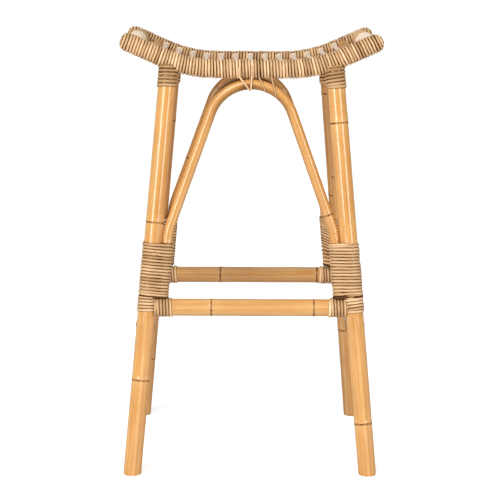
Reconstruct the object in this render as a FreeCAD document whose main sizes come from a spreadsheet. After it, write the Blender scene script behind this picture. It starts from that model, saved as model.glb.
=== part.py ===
import FreeCAD, Part
import math
import os

import Sketcher

# Saddle bar stool of natural rattan poles, bound with cane.
# X runs across the stool, Y from front to back, Z up; the origin is on the floor, midway between the feet.

Vector = FreeCAD.Vector
doc = FreeCAD.newDocument("rattan_bar_stool")

# ---------------------------------------------------------------- driving sizes, in mm and degrees
SIZES = {
    # stance: each leg runs from its foot on the floor to the axis of a seat rail
    "foot_half_width": 205.5,
    "foot_half_depth": 200,
    "seat_half_depth": 118,
    "seat_height": 700.6,
    # poles
    "leg_diameter": 31,
    "arch_diameter": 17.8,
    "foot_bar_diameter": 29.5,
    "rail_diameter": 27,
    "cross_pole_diameter": 20,
    "bearer_diameter": 20,
    "cane_diameter": 8,
    "strand_diameter": 8.5,
    # the saddle curve of the seat rails: flat, bent upwards, then straight to a rounded tip
    "rail_flat_half": 60,
    "rail_bend_radius": 240,
    "rail_bend_angle": 23.5,
    "rail_half_run": 220,
    # how far in from the middle of a tip each thing crosses the rails, along their curve
    "end_rail_inset": 9,
    "cross_pole_inset": 43,
    "last_strand_inset": 59.2,
    "leg_top_inset": 75.8,
    "strand_lift": 7.5,
    "cane_spacing": 80,
    # arched braces: the joints are where a limb turns away from its leg, above the bundle binding
    "crown_radius": 75,
    "side_crown_radius": 60,
    "front_joint_rise": 18,
    "side_joint_rise": 53,
    "limb_bend_radius": 100,
    # foot bars
    "foot_bar_height": 290.3,
    "back_bar_drop": 5,
    "side_bar_drop": 35,
    # wound cane: the bundle gap is what is left over the wrap of the front foot bar, and the band hangs below that bar's axis
    "rail_wrap_thickness": 3.5,
    "binding_thickness": 2.2,
    "bundle_gap": 0.4,
    "bundle_length": 93,
    "leg_band_drop": 8,
    "front_top_binding": 30,
    "back_top_binding": 43,
    "bar_wrap_length": 27,
    "crown_tie_width": 16,
    "tie_strand_diameter": 3.6,
    # screws
    "screw_diameter": 4,
    "screw_head_diameter": 8,
    "screw_head_depth": 3,
    "screw_length": 52,
    # fits
    "pole_clearance": 0.2,
    "wrap_clearance": 0.1,
    "bore_clearance": 0.1,
    "tie_clearance": 0.8,
}
STRAND_COUNT = 13
# poles that meet a rail stop this far from its axis, before they are coped to it
POLE_END_SHORT = 8
# leg rods start this far below the floor, and are cut level with it
OVERRUN = 40
# straight runs shorter than this between two bends are left out
SHORTEST_RUN = 0.01
# screw heads sit this far below the surface of the pole
SCREW_SINK = 1
# radii that a ring's sketch starts from, before its expressions set them
SKETCH_OUTER = 10
SKETCH_INNER = 5

sheet = doc.addObject("Spreadsheet::Sheet", "Sizes")
for row, (alias, value) in enumerate(SIZES.items(), start=1):
    sheet.set(f"A{row}", alias)
    sheet.set(f"B{row}", str(value))
    sheet.setAlias(f"B{row}", alias)
doc.recompute()


def size(alias):
    return float(sheet.get(alias))


# ---------------------------------------------------------------- shared helpers
def placement(origin, z_axis, x_axis=None):
    """A frame at origin whose Z runs along z_axis and whose X lies as near x_axis as it can."""
    z_dir = Vector(z_axis).normalize()
    if x_axis is None:
        x_axis = Vector(1, 0, 0) if abs(z_dir.x) < 0.9 else Vector(0, 1, 0)
    y_dir = z_dir.cross(Vector(x_axis)).normalize()
    x_dir = y_dir.cross(z_dir)
    matrix = FreeCAD.Matrix(
        x_dir.x, y_dir.x, z_dir.x, origin.x,
        x_dir.y, y_dir.y, z_dir.y, origin.y,
        x_dir.z, y_dir.z, z_dir.z, origin.z,
        0, 0, 0, 1,
    )
    return FreeCAD.Placement(matrix)


def rod(name, start, end, radius):
    """A round pole between two points; radius is an expression on the sheet."""
    cylinder = doc.addObject("Part::Cylinder", name)
    cylinder.setExpression("Radius", radius)
    cylinder.Height = (end - start).Length
    cylinder.Placement = placement(start, end - start)
    return cylinder


def ball(name, centre, radius):
    sphere = doc.addObject("Part::Sphere", name)
    sphere.setExpression("Radius", radius)
    sphere.Placement.Base = centre
    return sphere


def bent_rod(name, corners, bends, radius, round_ends=False):
    """A round pole along straight runs, joined at the inner corners by arcs of the given radii."""
    pieces = []
    run_start = corners[0]
    for index, bend in enumerate(bends, start=1):
        corner = corners[index]
        inward = (corner - corners[index - 1]).normalize()
        outward = (corners[index + 1] - corner).normalize()
        turn = inward.getAngle(outward)
        setback = bend * math.tan(turn / 2)
        arc_start = corner - inward * setback
        axis = inward.cross(outward).normalize()
        centre = arc_start + axis.cross(inward) * bend
        if (arc_start - run_start).Length > SHORTEST_RUN:
            pieces.append(rod(f"{name}_run_{index}", run_start, arc_start, radius))
        elbow = doc.addObject("Part::Torus", f"{name}_bend_{index}")
        elbow.Radius1 = bend
        elbow.setExpression("Radius2", radius)
        elbow.Angle3 = math.degrees(turn)
        elbow.Placement = placement(centre, axis, arc_start - centre)
        pieces.append(elbow)
        run_start = corner + outward * setback
    if (corners[-1] - run_start).Length > SHORTEST_RUN:
        pieces.append(rod(f"{name}_run_{len(bends) + 1}", run_start, corners[-1], radius))
    if round_ends:
        pieces.append(ball(f"{name}_tip_1", corners[0], radius))
        pieces.append(ball(f"{name}_tip_2", corners[-1], radius))
    whole = doc.addObject("Part::MultiFuse", name)
    whole.Shapes = pieces
    return whole


def cut(name, base, tools):
    """The base with each tool taken away in turn."""
    result = base
    for index, tool in enumerate(tools, start=1):
        step = doc.addObject("Part::Cut", f"{name}_cut_{index}")
        step.Base = result
        step.Tool = tool
        result = step
    return result


def ring_sleeve(name, origin, direction, length, inner, outer):
    """A round sleeve that starts at origin; its length and both radii are expressions."""
    body = doc.addObject("PartDesign::Body", name)
    sketch = body.newObject("Sketcher::SketchObject", f"{name}_outline")
    sketch.AttachmentSupport = [(origin_plane(body, "XY_Plane"), "")]
    sketch.MapMode = "FlatFace"
    for index, (expression, first) in enumerate(((outer, SKETCH_OUTER), (inner, SKETCH_INNER))):
        sketch.addGeometry(Part.Circle(Vector(0, 0, 0), Vector(0, 0, 1), first), False)
        sketch.addConstraint(Sketcher.Constraint("Coincident", index, 3, -1, 1))
        radius = sketch.addConstraint(Sketcher.Constraint("Radius", index, first))
        sketch.setExpression(f"Constraints[{radius}]", expression)
    pad = body.newObject("PartDesign::Pad", f"{name}_pad")
    pad.Profile = sketch
    pad.setExpression("Length", length)
    body.Placement = placement(origin, direction)
    return body


def origin_plane(body, role):
    return next(feature for feature in body.Origin.OriginFeatures if feature.Role == role)


def hull_edges(circles, grow):
    """The outline of a string pulled tight round circles (x, y, radius), listed anticlockwise."""
    tangents = []
    for index, (x, y, radius) in enumerate(circles):
        next_x, next_y, next_radius = circles[(index + 1) % len(circles)]
        centre = Vector(x, y, 0)
        along = Vector(next_x, next_y, 0) - centre
        lean = (radius - next_radius) / along.Length
        along.normalize()
        outside = Vector(along.y, -along.x, 0)
        normal = along * lean + outside * math.sqrt(1 - lean * lean)
        start = centre + normal * (radius + grow)
        end = Vector(next_x, next_y, 0) + normal * (next_radius + grow)
        tangents.append((start, end, math.atan2(normal.y, normal.x)))
    edges = []
    for index, (x, y, radius) in enumerate(circles):
        start_angle = tangents[index - 1][2]
        end_angle = tangents[index][2]
        circle = Part.Circle(Vector(x, y, 0), Vector(0, 0, 1), radius + grow)
        edges.append(Part.ArcOfCircle(circle, start_angle, end_angle))
        edges.append(Part.LineSegment(tangents[index][0], tangents[index][1]))
    return edges


def hull_sleeve(name, frame, circles, clearance, length):
    """A binding wound tight round a bundle of parallel poles."""
    body = doc.addObject("PartDesign::Body", name)
    sketch = body.newObject("Sketcher::SketchObject", f"{name}_outline")
    sketch.AttachmentSupport = [(origin_plane(body, "XY_Plane"), "")]
    sketch.MapMode = "FlatFace"
    sketch.addGeometry(hull_edges(circles, clearance), False)
    sketch.addGeometry(hull_edges(circles, clearance + size("binding_thickness")), False)
    pad = body.newObject("PartDesign::Pad", f"{name}_pad")
    pad.Profile = sketch
    pad.setExpression("Length", length)
    body.Placement = frame
    return body


# ---------------------------------------------------------------- the saddle curve
def saddle_point(run, lift):
    """Across (x), height (z) and slope of the saddle at a run along it from the middle, lifted square to it."""
    flat = size("rail_flat_half")
    bend = size("rail_bend_radius")
    full = math.radians(size("rail_bend_angle"))
    slope = min(max((abs(run) - flat) / bend, 0), full)
    straight = max(abs(run) - flat - bend * full, 0)
    x = min(abs(run), flat) + bend * math.sin(slope) + straight * math.cos(slope)
    z = bend * (1 - math.cos(slope)) + straight * math.sin(slope)
    x -= lift * math.sin(slope)
    z += lift * math.cos(slope)
    return math.copysign(x, run), size("seat_height") + z, slope


def saddle_corners(depth, lift, half_run):
    """The corners of a pole that follows the saddle curve at a depth y, and its bend radius."""
    bend = size("rail_bend_radius") - lift
    end_x, end_z, angle = saddle_point(half_run, lift)
    corner_x = size("rail_flat_half") + bend * math.tan(angle / 2)
    level = size("seat_height") + lift
    corners = [
        Vector(-end_x, depth, end_z),
        Vector(-corner_x, depth, level),
        Vector(corner_x, depth, level),
        Vector(end_x, depth, end_z),
    ]
    return corners, [bend, bend]


# ---------------------------------------------------------------- the stance
bar_heights = {
    "front": size("foot_bar_height"),
    "back": size("foot_bar_height") - size("back_bar_drop"),
    "left": size("foot_bar_height") - size("side_bar_drop"),
    "right": size("foot_bar_height") - size("side_bar_drop"),
}
end_rail_run = size("rail_half_run") - size("end_rail_inset")
cross_pole_run = size("rail_half_run") - size("cross_pole_inset")
last_strand_run = size("rail_half_run") - size("last_strand_inset")
leg_top_run = size("rail_half_run") - size("leg_top_inset")
leg_top_x, leg_top_z, _ = saddle_point(leg_top_run, 0)
# the bundle's lower face is square to its leg, so it dips towards the middle of the stool over the bar's wrap
bundle_reach = size("leg_diameter") / 2 + size("arch_diameter") + size("pole_clearance")
bundle_reach += size("wrap_clearance") + size("binding_thickness")
bundle_dip = bundle_reach * (size("foot_half_width") - leg_top_x) / leg_top_z
BUNDLE_RISE = "Sizes.foot_bar_diameter / 2 + Sizes.binding_thickness + 2 * Sizes.wrap_clearance + Sizes.bundle_gap"
bundle_rise = size("foot_bar_diameter") / 2 + size("binding_thickness") + 2 * size("wrap_clearance")
bundle_rise += size("bundle_gap") + bundle_dip
bundle_bottom = size("foot_bar_height") + bundle_rise
bundle_top = bundle_bottom + size("bundle_length")
SIDES = {"left": -1, "right": 1}
ENDS = {"front": -1, "back": 1}
CORNERS = [(end, side) for end in ENDS for side in SIDES]


def foot_point(end, side):
    return Vector(SIDES[side] * size("foot_half_width"), ENDS[end] * size("foot_half_depth"), 0)


def top_point(end, side):
    return Vector(SIDES[side] * leg_top_x, ENDS[end] * size("seat_half_depth"), leg_top_z)


def leg_point(end, side, height):
    """The point on a leg's axis at a height above the floor."""
    foot = foot_point(end, side)
    return foot + (top_point(end, side) - foot) * (height / leg_top_z)


def leg_direction(end, side):
    return (top_point(end, side) - foot_point(end, side)).normalize()


parts = {}
LEG_RADIUS = "Sizes.leg_diameter / 2"
RAIL_RADIUS = "Sizes.rail_diameter / 2"
RAIL_OUTER = "Sizes.rail_diameter / 2 + Sizes.rail_wrap_thickness"
ARCH_RADIUS = "Sizes.arch_diameter / 2"
BAR_RADIUS = "Sizes.foot_bar_diameter / 2"


# ---------------------------------------------------------------- full-length poles, before they are coped
rail_cores = {}
rail_outers = {}
for end, sign in ENDS.items():
    corners, bends = saddle_corners(sign * size("seat_half_depth"), 0, size("rail_half_run"))
    rail_cores[end] = bent_rod(f"{end}_rail_core", corners, bends, RAIL_RADIUS, True)
    rail_outers[end] = bent_rod(f"{end}_rail_outer", corners, bends, RAIL_OUTER, True)

leg_rods = {}
for end, side in CORNERS:
    down = leg_direction(end, side) * -OVERRUN
    short = leg_direction(end, side) * -POLE_END_SHORT
    foot = foot_point(end, side) + down
    leg_rods[end, side] = rod(f"{end}_{side}_leg_rod", foot, top_point(end, side) + short, LEG_RADIUS)


def crosswise(name, run, lift, radius):
    """A front-to-back pole that stops a little short of the axes of the two seat rails."""
    x, z, _ = saddle_point(run, lift)
    half = size("seat_half_depth") - POLE_END_SHORT
    return rod(name, Vector(x, -half, z), Vector(x, half, z), radius)


strand_bottom = size("strand_lift") - size("strand_diameter") / 2
cane_lift = strand_bottom - size("cane_diameter") / 2 - size("wrap_clearance")
bearer_lift = cane_lift - (size("cane_diameter") + size("bearer_diameter")) / 2 - size("wrap_clearance")

end_rods = {}
end_outers = {}
cross_rods = {}
bearer_rods = {}
for side, sign in SIDES.items():
    end_rods[side] = crosswise(f"{side}_end_rod", sign * end_rail_run, 0, RAIL_RADIUS)
    end_outers[side] = crosswise(f"{side}_end_outer", sign * end_rail_run, 0, RAIL_OUTER)
    cross_rods[side] = crosswise(
        f"{side}_cross_rod", sign * cross_pole_run, 0, "Sizes.cross_pole_diameter / 2"
    )
    bearer_rods[side] = crosswise(
        f"{side}_bearer_rod", sign * leg_top_run, bearer_lift, "Sizes.bearer_diameter / 2"
    )

bar_rods = {}
for end in ENDS:
    height = bar_heights[end]
    left = leg_point(end, "left", height)
    bar_rods[end] = rod(f"{end}_bar_rod", left, leg_point(end, "right", height), BAR_RADIUS)
for side in SIDES:
    height = bar_heights[side]
    front = leg_point("front", side, height)
    bar_rods[side] = rod(f"{side}_bar_rod", front, leg_point("back", side, height), BAR_RADIUS)


# ---------------------------------------------------------------- screws, and the bores that they sit in
screws = []
bores = {}


def screw(key, head_point, direction, pieces):
    """A countersunk screw from head_point, and a bore with clearance for each piece that it passes."""
    name = f"screw_{key}"
    tip = head_point + direction * size("screw_length")
    for kind, gap in (("", ""), ("_bore", " + Sizes.bore_clearance")):
        shank = rod(name + kind + "_shank", head_point, tip, "Sizes.screw_diameter / 2" + gap)
        head = doc.addObject("Part::Cone", name + kind + "_head")
        head.setExpression("Radius1", "Sizes.screw_head_diameter / 2" + gap)
        head.setExpression("Radius2", "Sizes.screw_diameter / 2" + gap)
        head.setExpression("Height", "Sizes.screw_head_depth")
        head.Placement = placement(head_point, direction)
        whole = doc.addObject("Part::Fuse", name + kind)
        whole.Base = shank
        whole.Tool = head
        if kind:
            for piece in pieces:
                bores.setdefault(piece, []).append(whole)
        else:
            screws.append(whole)


rail_screw_seat = size("rail_diameter") / 2 - SCREW_SINK
leg_screw_seat = size("leg_diameter") / 2 - SCREW_SINK
for end, side in CORNERS:
    leg = f"{end}_{side}_leg"
    down = leg_direction(end, side) * -1
    start = top_point(end, side) - down * rail_screw_seat
    screw(f"{end}_{side}_top", start, down, [leg, f"{end}_seat_rail"])
    for bar, height, across in (
        (f"{end}_foot_bar", bar_heights[end], Vector(-SIDES[side], 0, 0)),
        (f"{side}_foot_bar", bar_heights[side], Vector(0, -ENDS[end], 0)),
    ):
        start = leg_point(end, side, height) - across * leg_screw_seat
        screw(f"{end}_{side}_{bar}", start, across, [leg, bar])
    inward = Vector(0, -ENDS[end], 0)
    x, z, _ = saddle_point(SIDES[side] * end_rail_run, 0)
    start = Vector(x, ENDS[end] * (size("seat_half_depth") + rail_screw_seat), z)
    screw(f"{end}_{side}_end", start, inward, [f"{end}_seat_rail", f"{side}_end_rail"])
    x, z, _ = saddle_point(SIDES[side] * cross_pole_run, 0)
    start = Vector(x, ENDS[end] * (size("seat_half_depth") + rail_screw_seat), z)
    screw(f"{end}_{side}_cross", start, inward, [f"{end}_seat_rail", f"{side}_cross_pole"])

screw_set = doc.addObject("Part::Compound", "frame_screws")
screw_set.Links = screws
parts["frame_screws"] = screw_set


# ---------------------------------------------------------------- legs
floor_block = doc.addObject("Part::Box", "floor_block")
floor_block.setExpression("Length", "4 * Sizes.foot_half_width")
floor_block.setExpression("Width", "4 * Sizes.foot_half_depth")
floor_block.Height = 2 * OVERRUN
floor_block.Placement.Base = Vector(-2 * size("foot_half_width"), -2 * size("foot_half_depth"), -2 * OVERRUN)

for end, side in CORNERS:
    name = f"{end}_{side}_leg"
    tools = [floor_block, rail_cores[end], *bores[name]]
    parts[name] = cut(name, leg_rods[end, side], tools)


# ---------------------------------------------------------------- seat rails, end rails, cross poles and bearers
for end in ENDS:
    name = f"{end}_seat_rail"
    parts[name] = cut(name, rail_cores[end], bores[name])
for side in SIDES:
    rails = [rail_cores["front"], rail_cores["back"]]
    legs = [leg_rods["front", side], leg_rods["back", side]]
    name = f"{side}_end_rail"
    parts[name] = cut(name, end_rods[side], rails + bores[name])
    name = f"{side}_cross_pole"
    parts[name] = cut(name, cross_rods[side], rails + bores[name])
    name = f"{side}_bearer"
    parts[name] = cut(name, bearer_rods[side], rails + legs)


# ---------------------------------------------------------------- foot bars
for end in ENDS:
    name = f"{end}_foot_bar"
    legs = [leg_rods[end, side] for side in SIDES]
    parts[name] = cut(name, bar_rods[end], legs + bores[name])
for side in SIDES:
    name = f"{side}_foot_bar"
    legs = [leg_rods[end, side] for end in ENDS]
    parts[name] = cut(name, bar_rods[side], legs + bores[name])


# ---------------------------------------------------------------- arched braces
def arch(name, foot, top, across, crown_radius, crown_height, joint_height):
    """A pole bent to an arch between two legs, in the plane that holds both of their axes.

    foot and top are the ends of one leg's axis, on the side that across points to. Each limb
    rises beside its leg to the joint, then leans inwards to touch the circle of the crown.
    """
    middle = foot - across * foot.dot(across)
    rise = (top - foot) - across * (top - foot).dot(across)
    upright = Vector(rise).normalize()
    leg_slope = (foot - top).dot(across) / rise.Length
    scale = upright.z
    beside = size("leg_diameter") / 2 + size("arch_diameter") / 2 + size("pole_clearance")
    foot_out = (foot - middle).Length - beside * math.sqrt(1 + leg_slope**2)
    crown = crown_height / scale
    joint_up = joint_height / scale
    joint_out = foot_out - leg_slope * joint_up
    centre_rise = crown - crown_radius - joint_up
    reach = math.hypot(joint_out, centre_rise)
    lean = math.atan2(joint_out, centre_rise) - math.asin(crown_radius / reach)
    corner_out = crown_radius * math.tan((math.pi / 2 - lean) / 2)
    base_up = bundle_bottom / scale
    base_out = foot_out - leg_slope * base_up

    def place(out, up):
        return middle + across * out + upright * up

    corners = [
        place(-base_out, base_up),
        place(-joint_out, joint_up),
        place(-corner_out, crown),
        place(corner_out, crown),
        place(joint_out, joint_up),
        place(base_out, base_up),
    ]
    limb = size("limb_bend_radius")
    return bent_rod(name, corners, [limb, crown_radius, crown_radius, limb], ARCH_RADIUS)


rail_outer_radius = size("rail_diameter") / 2 + size("rail_wrap_thickness")
arch_radius = size("arch_diameter") / 2
front_crown = size("seat_height") - rail_outer_radius - arch_radius - size("pole_clearance")
bearer_x, bearer_z, _ = saddle_point(leg_top_run, bearer_lift)
side_crown = bearer_z - size("bearer_diameter") / 2 - arch_radius - size("pole_clearance")
for end in ENDS:
    foot, top = foot_point(end, "right"), top_point(end, "right")
    joint = bundle_top + size("front_joint_rise")
    parts[f"{end}_arch"] = arch(
        f"{end}_arch", foot, top, Vector(1, 0, 0), size("crown_radius"), front_crown, joint
    )
for side in SIDES:
    foot, top = foot_point("back", side), top_point("back", side)
    joint = bundle_top + size("side_joint_rise")
    parts[f"{side}_arch"] = arch(
        f"{side}_arch", foot, top, Vector(0, 1, 0), size("side_crown_radius"), side_crown, joint
    )


# ---------------------------------------------------------------- seat deck
deck_cutters = [rail_outers["front"], rail_outers["back"]]
strand_pitch = 2 * last_strand_run / (STRAND_COUNT - 1)
for index in range(STRAND_COUNT):
    name = f"cross_strand_{index + 1:02d}"
    run = index * strand_pitch - last_strand_run
    strand_rod = crosswise(f"{name}_rod", run, size("strand_lift"), "Sizes.strand_diameter / 2")
    parts[name] = cut(name, strand_rod, deck_cutters)

for end, sign in ENDS.items():
    name = f"{end}_lengthwise_cane"
    corners, bends = saddle_corners(sign * size("cane_spacing") / 2, cane_lift, cross_pole_run)
    cane = bent_rod(f"{name}_rod", corners, bends, "Sizes.cane_diameter / 2")
    parts[name] = cut(name, cane, list(cross_rods.values()))


# ---------------------------------------------------------------- wraps on the seat frame
for end in ENDS:
    name = f"{end}_rail_wrap"
    tools = [rail_cores[end]]
    tools += [leg_rods[end, side] for side in SIDES]
    tools += list(end_rods.values()) + list(cross_rods.values()) + list(bearer_rods.values())
    parts[name] = cut(name, rail_outers[end], tools)
for side in SIDES:
    name = f"{side}_end_wrap"
    parts[name] = cut(name, end_outers[side], [end_rods[side], rail_outers["front"], rail_outers["back"]])


# ---------------------------------------------------------------- bindings on the legs
BINDING_INNER = "Sizes.leg_diameter / 2 + Sizes.wrap_clearance"
BINDING_OUTER = BINDING_INNER + " + Sizes.binding_thickness"

for end, side in CORNERS:
    up = leg_direction(end, side)
    unlean = 1 / up.z
    beside = size("leg_diameter") / 2 + arch_radius + size("pole_clearance")
    # the frame's Z runs up the leg and its X towards the limb of the front or back arch
    base = foot_point(end, side) + up * (bundle_bottom * unlean)
    frame = placement(base, up, Vector(-SIDES[side], 0, 0))
    # the side arch's limb, square to the leg and in the plane of the two side legs
    side_way = Vector(0, -ENDS[end], 0)
    side_way = (side_way - up * side_way.dot(up)).normalize()
    local = frame.Rotation.inverted().multVec(side_way * beside)
    circles = [
        (0, 0, size("leg_diameter") / 2),
        (beside, 0, arch_radius),
        (local.x, local.y, arch_radius),
    ]
    if local.y < 0:
        circles = [circles[0], circles[2], circles[1]]
    name = f"{end}_{side}_bundle_binding"
    parts[name] = hull_sleeve(
        name, frame, circles, size("wrap_clearance"), f"Sizes.bundle_length * {unlean}"
    )

    name = f"{end}_{side}_leg_band"
    base = foot_point(end, side) + up * ((size("foot_bar_height") - size("leg_band_drop")) * unlean)
    band = ring_sleeve(
        f"{name}_sleeve", base, up, f"({BUNDLE_RISE} + {bundle_dip} + Sizes.leg_band_drop) * {unlean}",
        BINDING_INNER, BINDING_OUTER,
    )
    parts[name] = cut(name, band, [bar_rods[end], bar_rods[side]])

    name = f"{end}_{side}_top_binding"
    height = leg_top_z - rail_outer_radius - size(f"{end}_top_binding")
    base = foot_point(end, side) + up * (height * unlean)
    length = f"(Sizes.{end}_top_binding + {RAIL_OUTER} - {POLE_END_SHORT}) * {unlean}"
    binding = ring_sleeve(f"{name}_sleeve", base, up, length, BINDING_INNER, BINDING_OUTER)
    parts[name] = cut(name, binding, [rail_outers[end], bearer_rods[side]])


# ---------------------------------------------------------------- wraps on the ends of the foot bars
WRAP_INNER = BAR_RADIUS + " + Sizes.wrap_clearance"
WRAP_OUTER = WRAP_INNER + " + Sizes.binding_thickness"
bar_wrap_reach = size("leg_diameter") / 2 + size("binding_thickness") + 2 * size("wrap_clearance")


def bar_wraps(name, height, first, second):
    """Two like wraps, one against the leg at each end of a foot bar."""
    sleeves = []
    for index, (near, far) in enumerate(((first, second), (second, first)), start=1):
        start = leg_point(*near, height)
        along = (leg_point(*far, height) - start).normalize()
        sleeve = ring_sleeve(
            f"{name}_sleeve_{index}", start, along, f"Sizes.bar_wrap_length + {bar_wrap_reach}",
            WRAP_INNER, WRAP_OUTER,
        )
        leg_space = ring_space(f"{name}_space_{index}", near)
        sleeves += [cut(f"{name}_{index}", sleeve, [leg_space])]
    group = doc.addObject("Part::Compound", name)
    group.Links = sleeves
    return group


def ring_space(name, corner):
    """The room that a leg with its band takes up."""
    outer = BINDING_OUTER + " + Sizes.wrap_clearance"
    foot = foot_point(*corner)
    return rod(name, foot, leg_point(*corner, bundle_top), outer)


for end in ENDS:
    name = f"{end}_bar_wraps"
    parts[name] = bar_wraps(name, bar_heights[end], (end, "left"), (end, "right"))
for side in SIDES:
    name = f"{side}_bar_wraps"
    parts[name] = bar_wraps(name, bar_heights[side], ("front", side), ("back", side))


# ---------------------------------------------------------------- ties at the crowns of the arches
tie_radius = size("tie_strand_diameter") / 2
# where each strand starts on the rail and ends on the arch, across, in crown radii from the middle
TIE_SPANS = [(-0.29, -0.05), (0, -0.02), (0.16, 0.33), (0.45, 0.57)]
# how far round below the rail's outer side the strands start
TIE_START_ANGLE = math.radians(25)
# how far down the arch's outer side they end, in pole radii below its axis
TIE_LOW = 0.6
for end, sign in ENDS.items():
    plane_slope = (size("foot_half_depth") - size("seat_half_depth")) / leg_top_z
    clear = arch_radius + tie_radius + size("wrap_clearance")
    rail_clear = rail_outer_radius + tie_radius + size("wrap_clearance")
    ties = []
    for index, (high_x, low_x) in enumerate(TIE_SPANS, start=1):
        high_x *= size("crown_radius")
        low_x *= size("crown_radius")
        high_z = size("seat_height") - rail_clear * math.sin(TIE_START_ANGLE)
        high_y = size("seat_half_depth") + rail_clear * math.cos(TIE_START_ANGLE)
        pole_z = front_crown - size("crown_radius") + math.sqrt(size("crown_radius")**2 - low_x**2)
        face_y = size("foot_half_depth") - plane_slope * pole_z + clear
        low_z = front_crown - arch_radius * TIE_LOW
        start = Vector(high_x, sign * high_y, high_z)
        finish = Vector(low_x, sign * face_y, low_z)
        ties.append(rod(f"{end}_tie_{index}", start, finish, "Sizes.tie_strand_diameter / 2"))
    group = doc.addObject("Part::Compound", f"{end}_crown_ties")
    group.Links = ties
    parts[f"{end}_crown_ties"] = group

side_ties = []
for side, sign in SIDES.items():
    side_slope = (size("foot_half_width") - leg_top_x) / leg_top_z
    crown_x = size("foot_half_width") - side_slope * side_crown
    circles = [
        (sign * crown_x, side_crown, arch_radius),
        (sign * bearer_x, bearer_z, size("bearer_diameter") / 2),
    ]
    frame = FreeCAD.Placement(
        Vector(0, size("crown_tie_width") / 2, 0), FreeCAD.Rotation(Vector(1, 0, 0), 90)
    )
    side_ties.append(
        hull_sleeve(f"{side}_crown_tie", frame, circles, size("tie_clearance"), "Sizes.crown_tie_width")
    )
side_group = doc.addObject("Part::Compound", "side_crown_ties")
side_group.Links = side_ties
parts["side_crown_ties"] = side_group


# ---------------------------------------------------------------- check and write
doc.recompute()
for item in doc.Objects:
    if "Invalid" in item.State or "Error" in item.State:
        raise RuntimeError(f"{item.Name} did not build: {item.State}")
for name, piece in parts.items():
    piece.Label = name
    if piece.Shape.isNull() or not piece.Shape.isValid() or not piece.Shape.Solids:
        raise RuntimeError(f"{name} is not a valid solid")

os.makedirs("parts", exist_ok=True)
for name, piece in parts.items():
    piece.Shape.exportStep(f"parts/{name}.step")
print(f"{len(parts)} parts written")
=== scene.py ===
"""Looks for a saddle bar stool of rattan poles bound with wound cane.

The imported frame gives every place; this file grows the poles, winds the cane round them, lays the
deck and sets a pale studio. X runs across the stool, Y from front to back, Z up, in metres.
"""

import math

import bpy
import numpy as np
from mathutils import Matrix, Vector


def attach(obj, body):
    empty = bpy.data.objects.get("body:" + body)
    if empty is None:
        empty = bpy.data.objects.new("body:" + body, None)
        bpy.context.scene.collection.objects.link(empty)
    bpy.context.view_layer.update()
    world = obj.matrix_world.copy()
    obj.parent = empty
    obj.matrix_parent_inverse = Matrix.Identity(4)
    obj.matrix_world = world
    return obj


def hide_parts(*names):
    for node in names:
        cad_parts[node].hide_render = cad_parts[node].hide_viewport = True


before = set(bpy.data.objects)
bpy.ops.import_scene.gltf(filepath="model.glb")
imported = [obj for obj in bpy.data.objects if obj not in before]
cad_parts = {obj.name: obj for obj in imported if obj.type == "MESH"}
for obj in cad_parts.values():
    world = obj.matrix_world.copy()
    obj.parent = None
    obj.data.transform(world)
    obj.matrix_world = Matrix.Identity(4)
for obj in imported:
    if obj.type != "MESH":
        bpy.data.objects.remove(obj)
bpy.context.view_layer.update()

bl_info = {
    "name": "Rattan Bar Stool",
    "version": (1, 0, 0),
    "blender": (4, 5, 0),
    "location": "View3D > Sidebar > Stool",
    "description": "Grows the poles of a rattan bar stool and winds its cane",
    "category": "Object",
}

SIDES = {"left": -1, "right": 1}
ENDS = {"front": -1, "back": 1}
CORNERS = [(end, side) for end in ENDS for side in SIDES]
ACROSS = np.array((1.0, 0.0, 0.0))
DEEP = np.array((0.0, 1.0, 0.0))
UP = np.array((0.0, 0.0, 1.0))

# how far a pole or a winding stands off what it sits on, and the same for the canes of the deck
SITTING_GAP = 0.0002
DECK_GAP = 0.0001


# ---------------------------------------------------------------- settings
def length(name, description, default):
    return bpy.props.FloatProperty(name=name, description=description, default=default, unit="LENGTH")


def angle(name, description, default):
    return bpy.props.FloatProperty(
        name=name, description=description, default=math.radians(default), subtype="ANGLE"
    )


def light_level(name, description, default):
    return bpy.props.FloatProperty(name=name, description=description, default=default)


def colour(name, description, default):
    return bpy.props.FloatVectorProperty(
        name=name, description=description, default=default, size=3, min=0, max=1, subtype="COLOR"
    )


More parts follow.
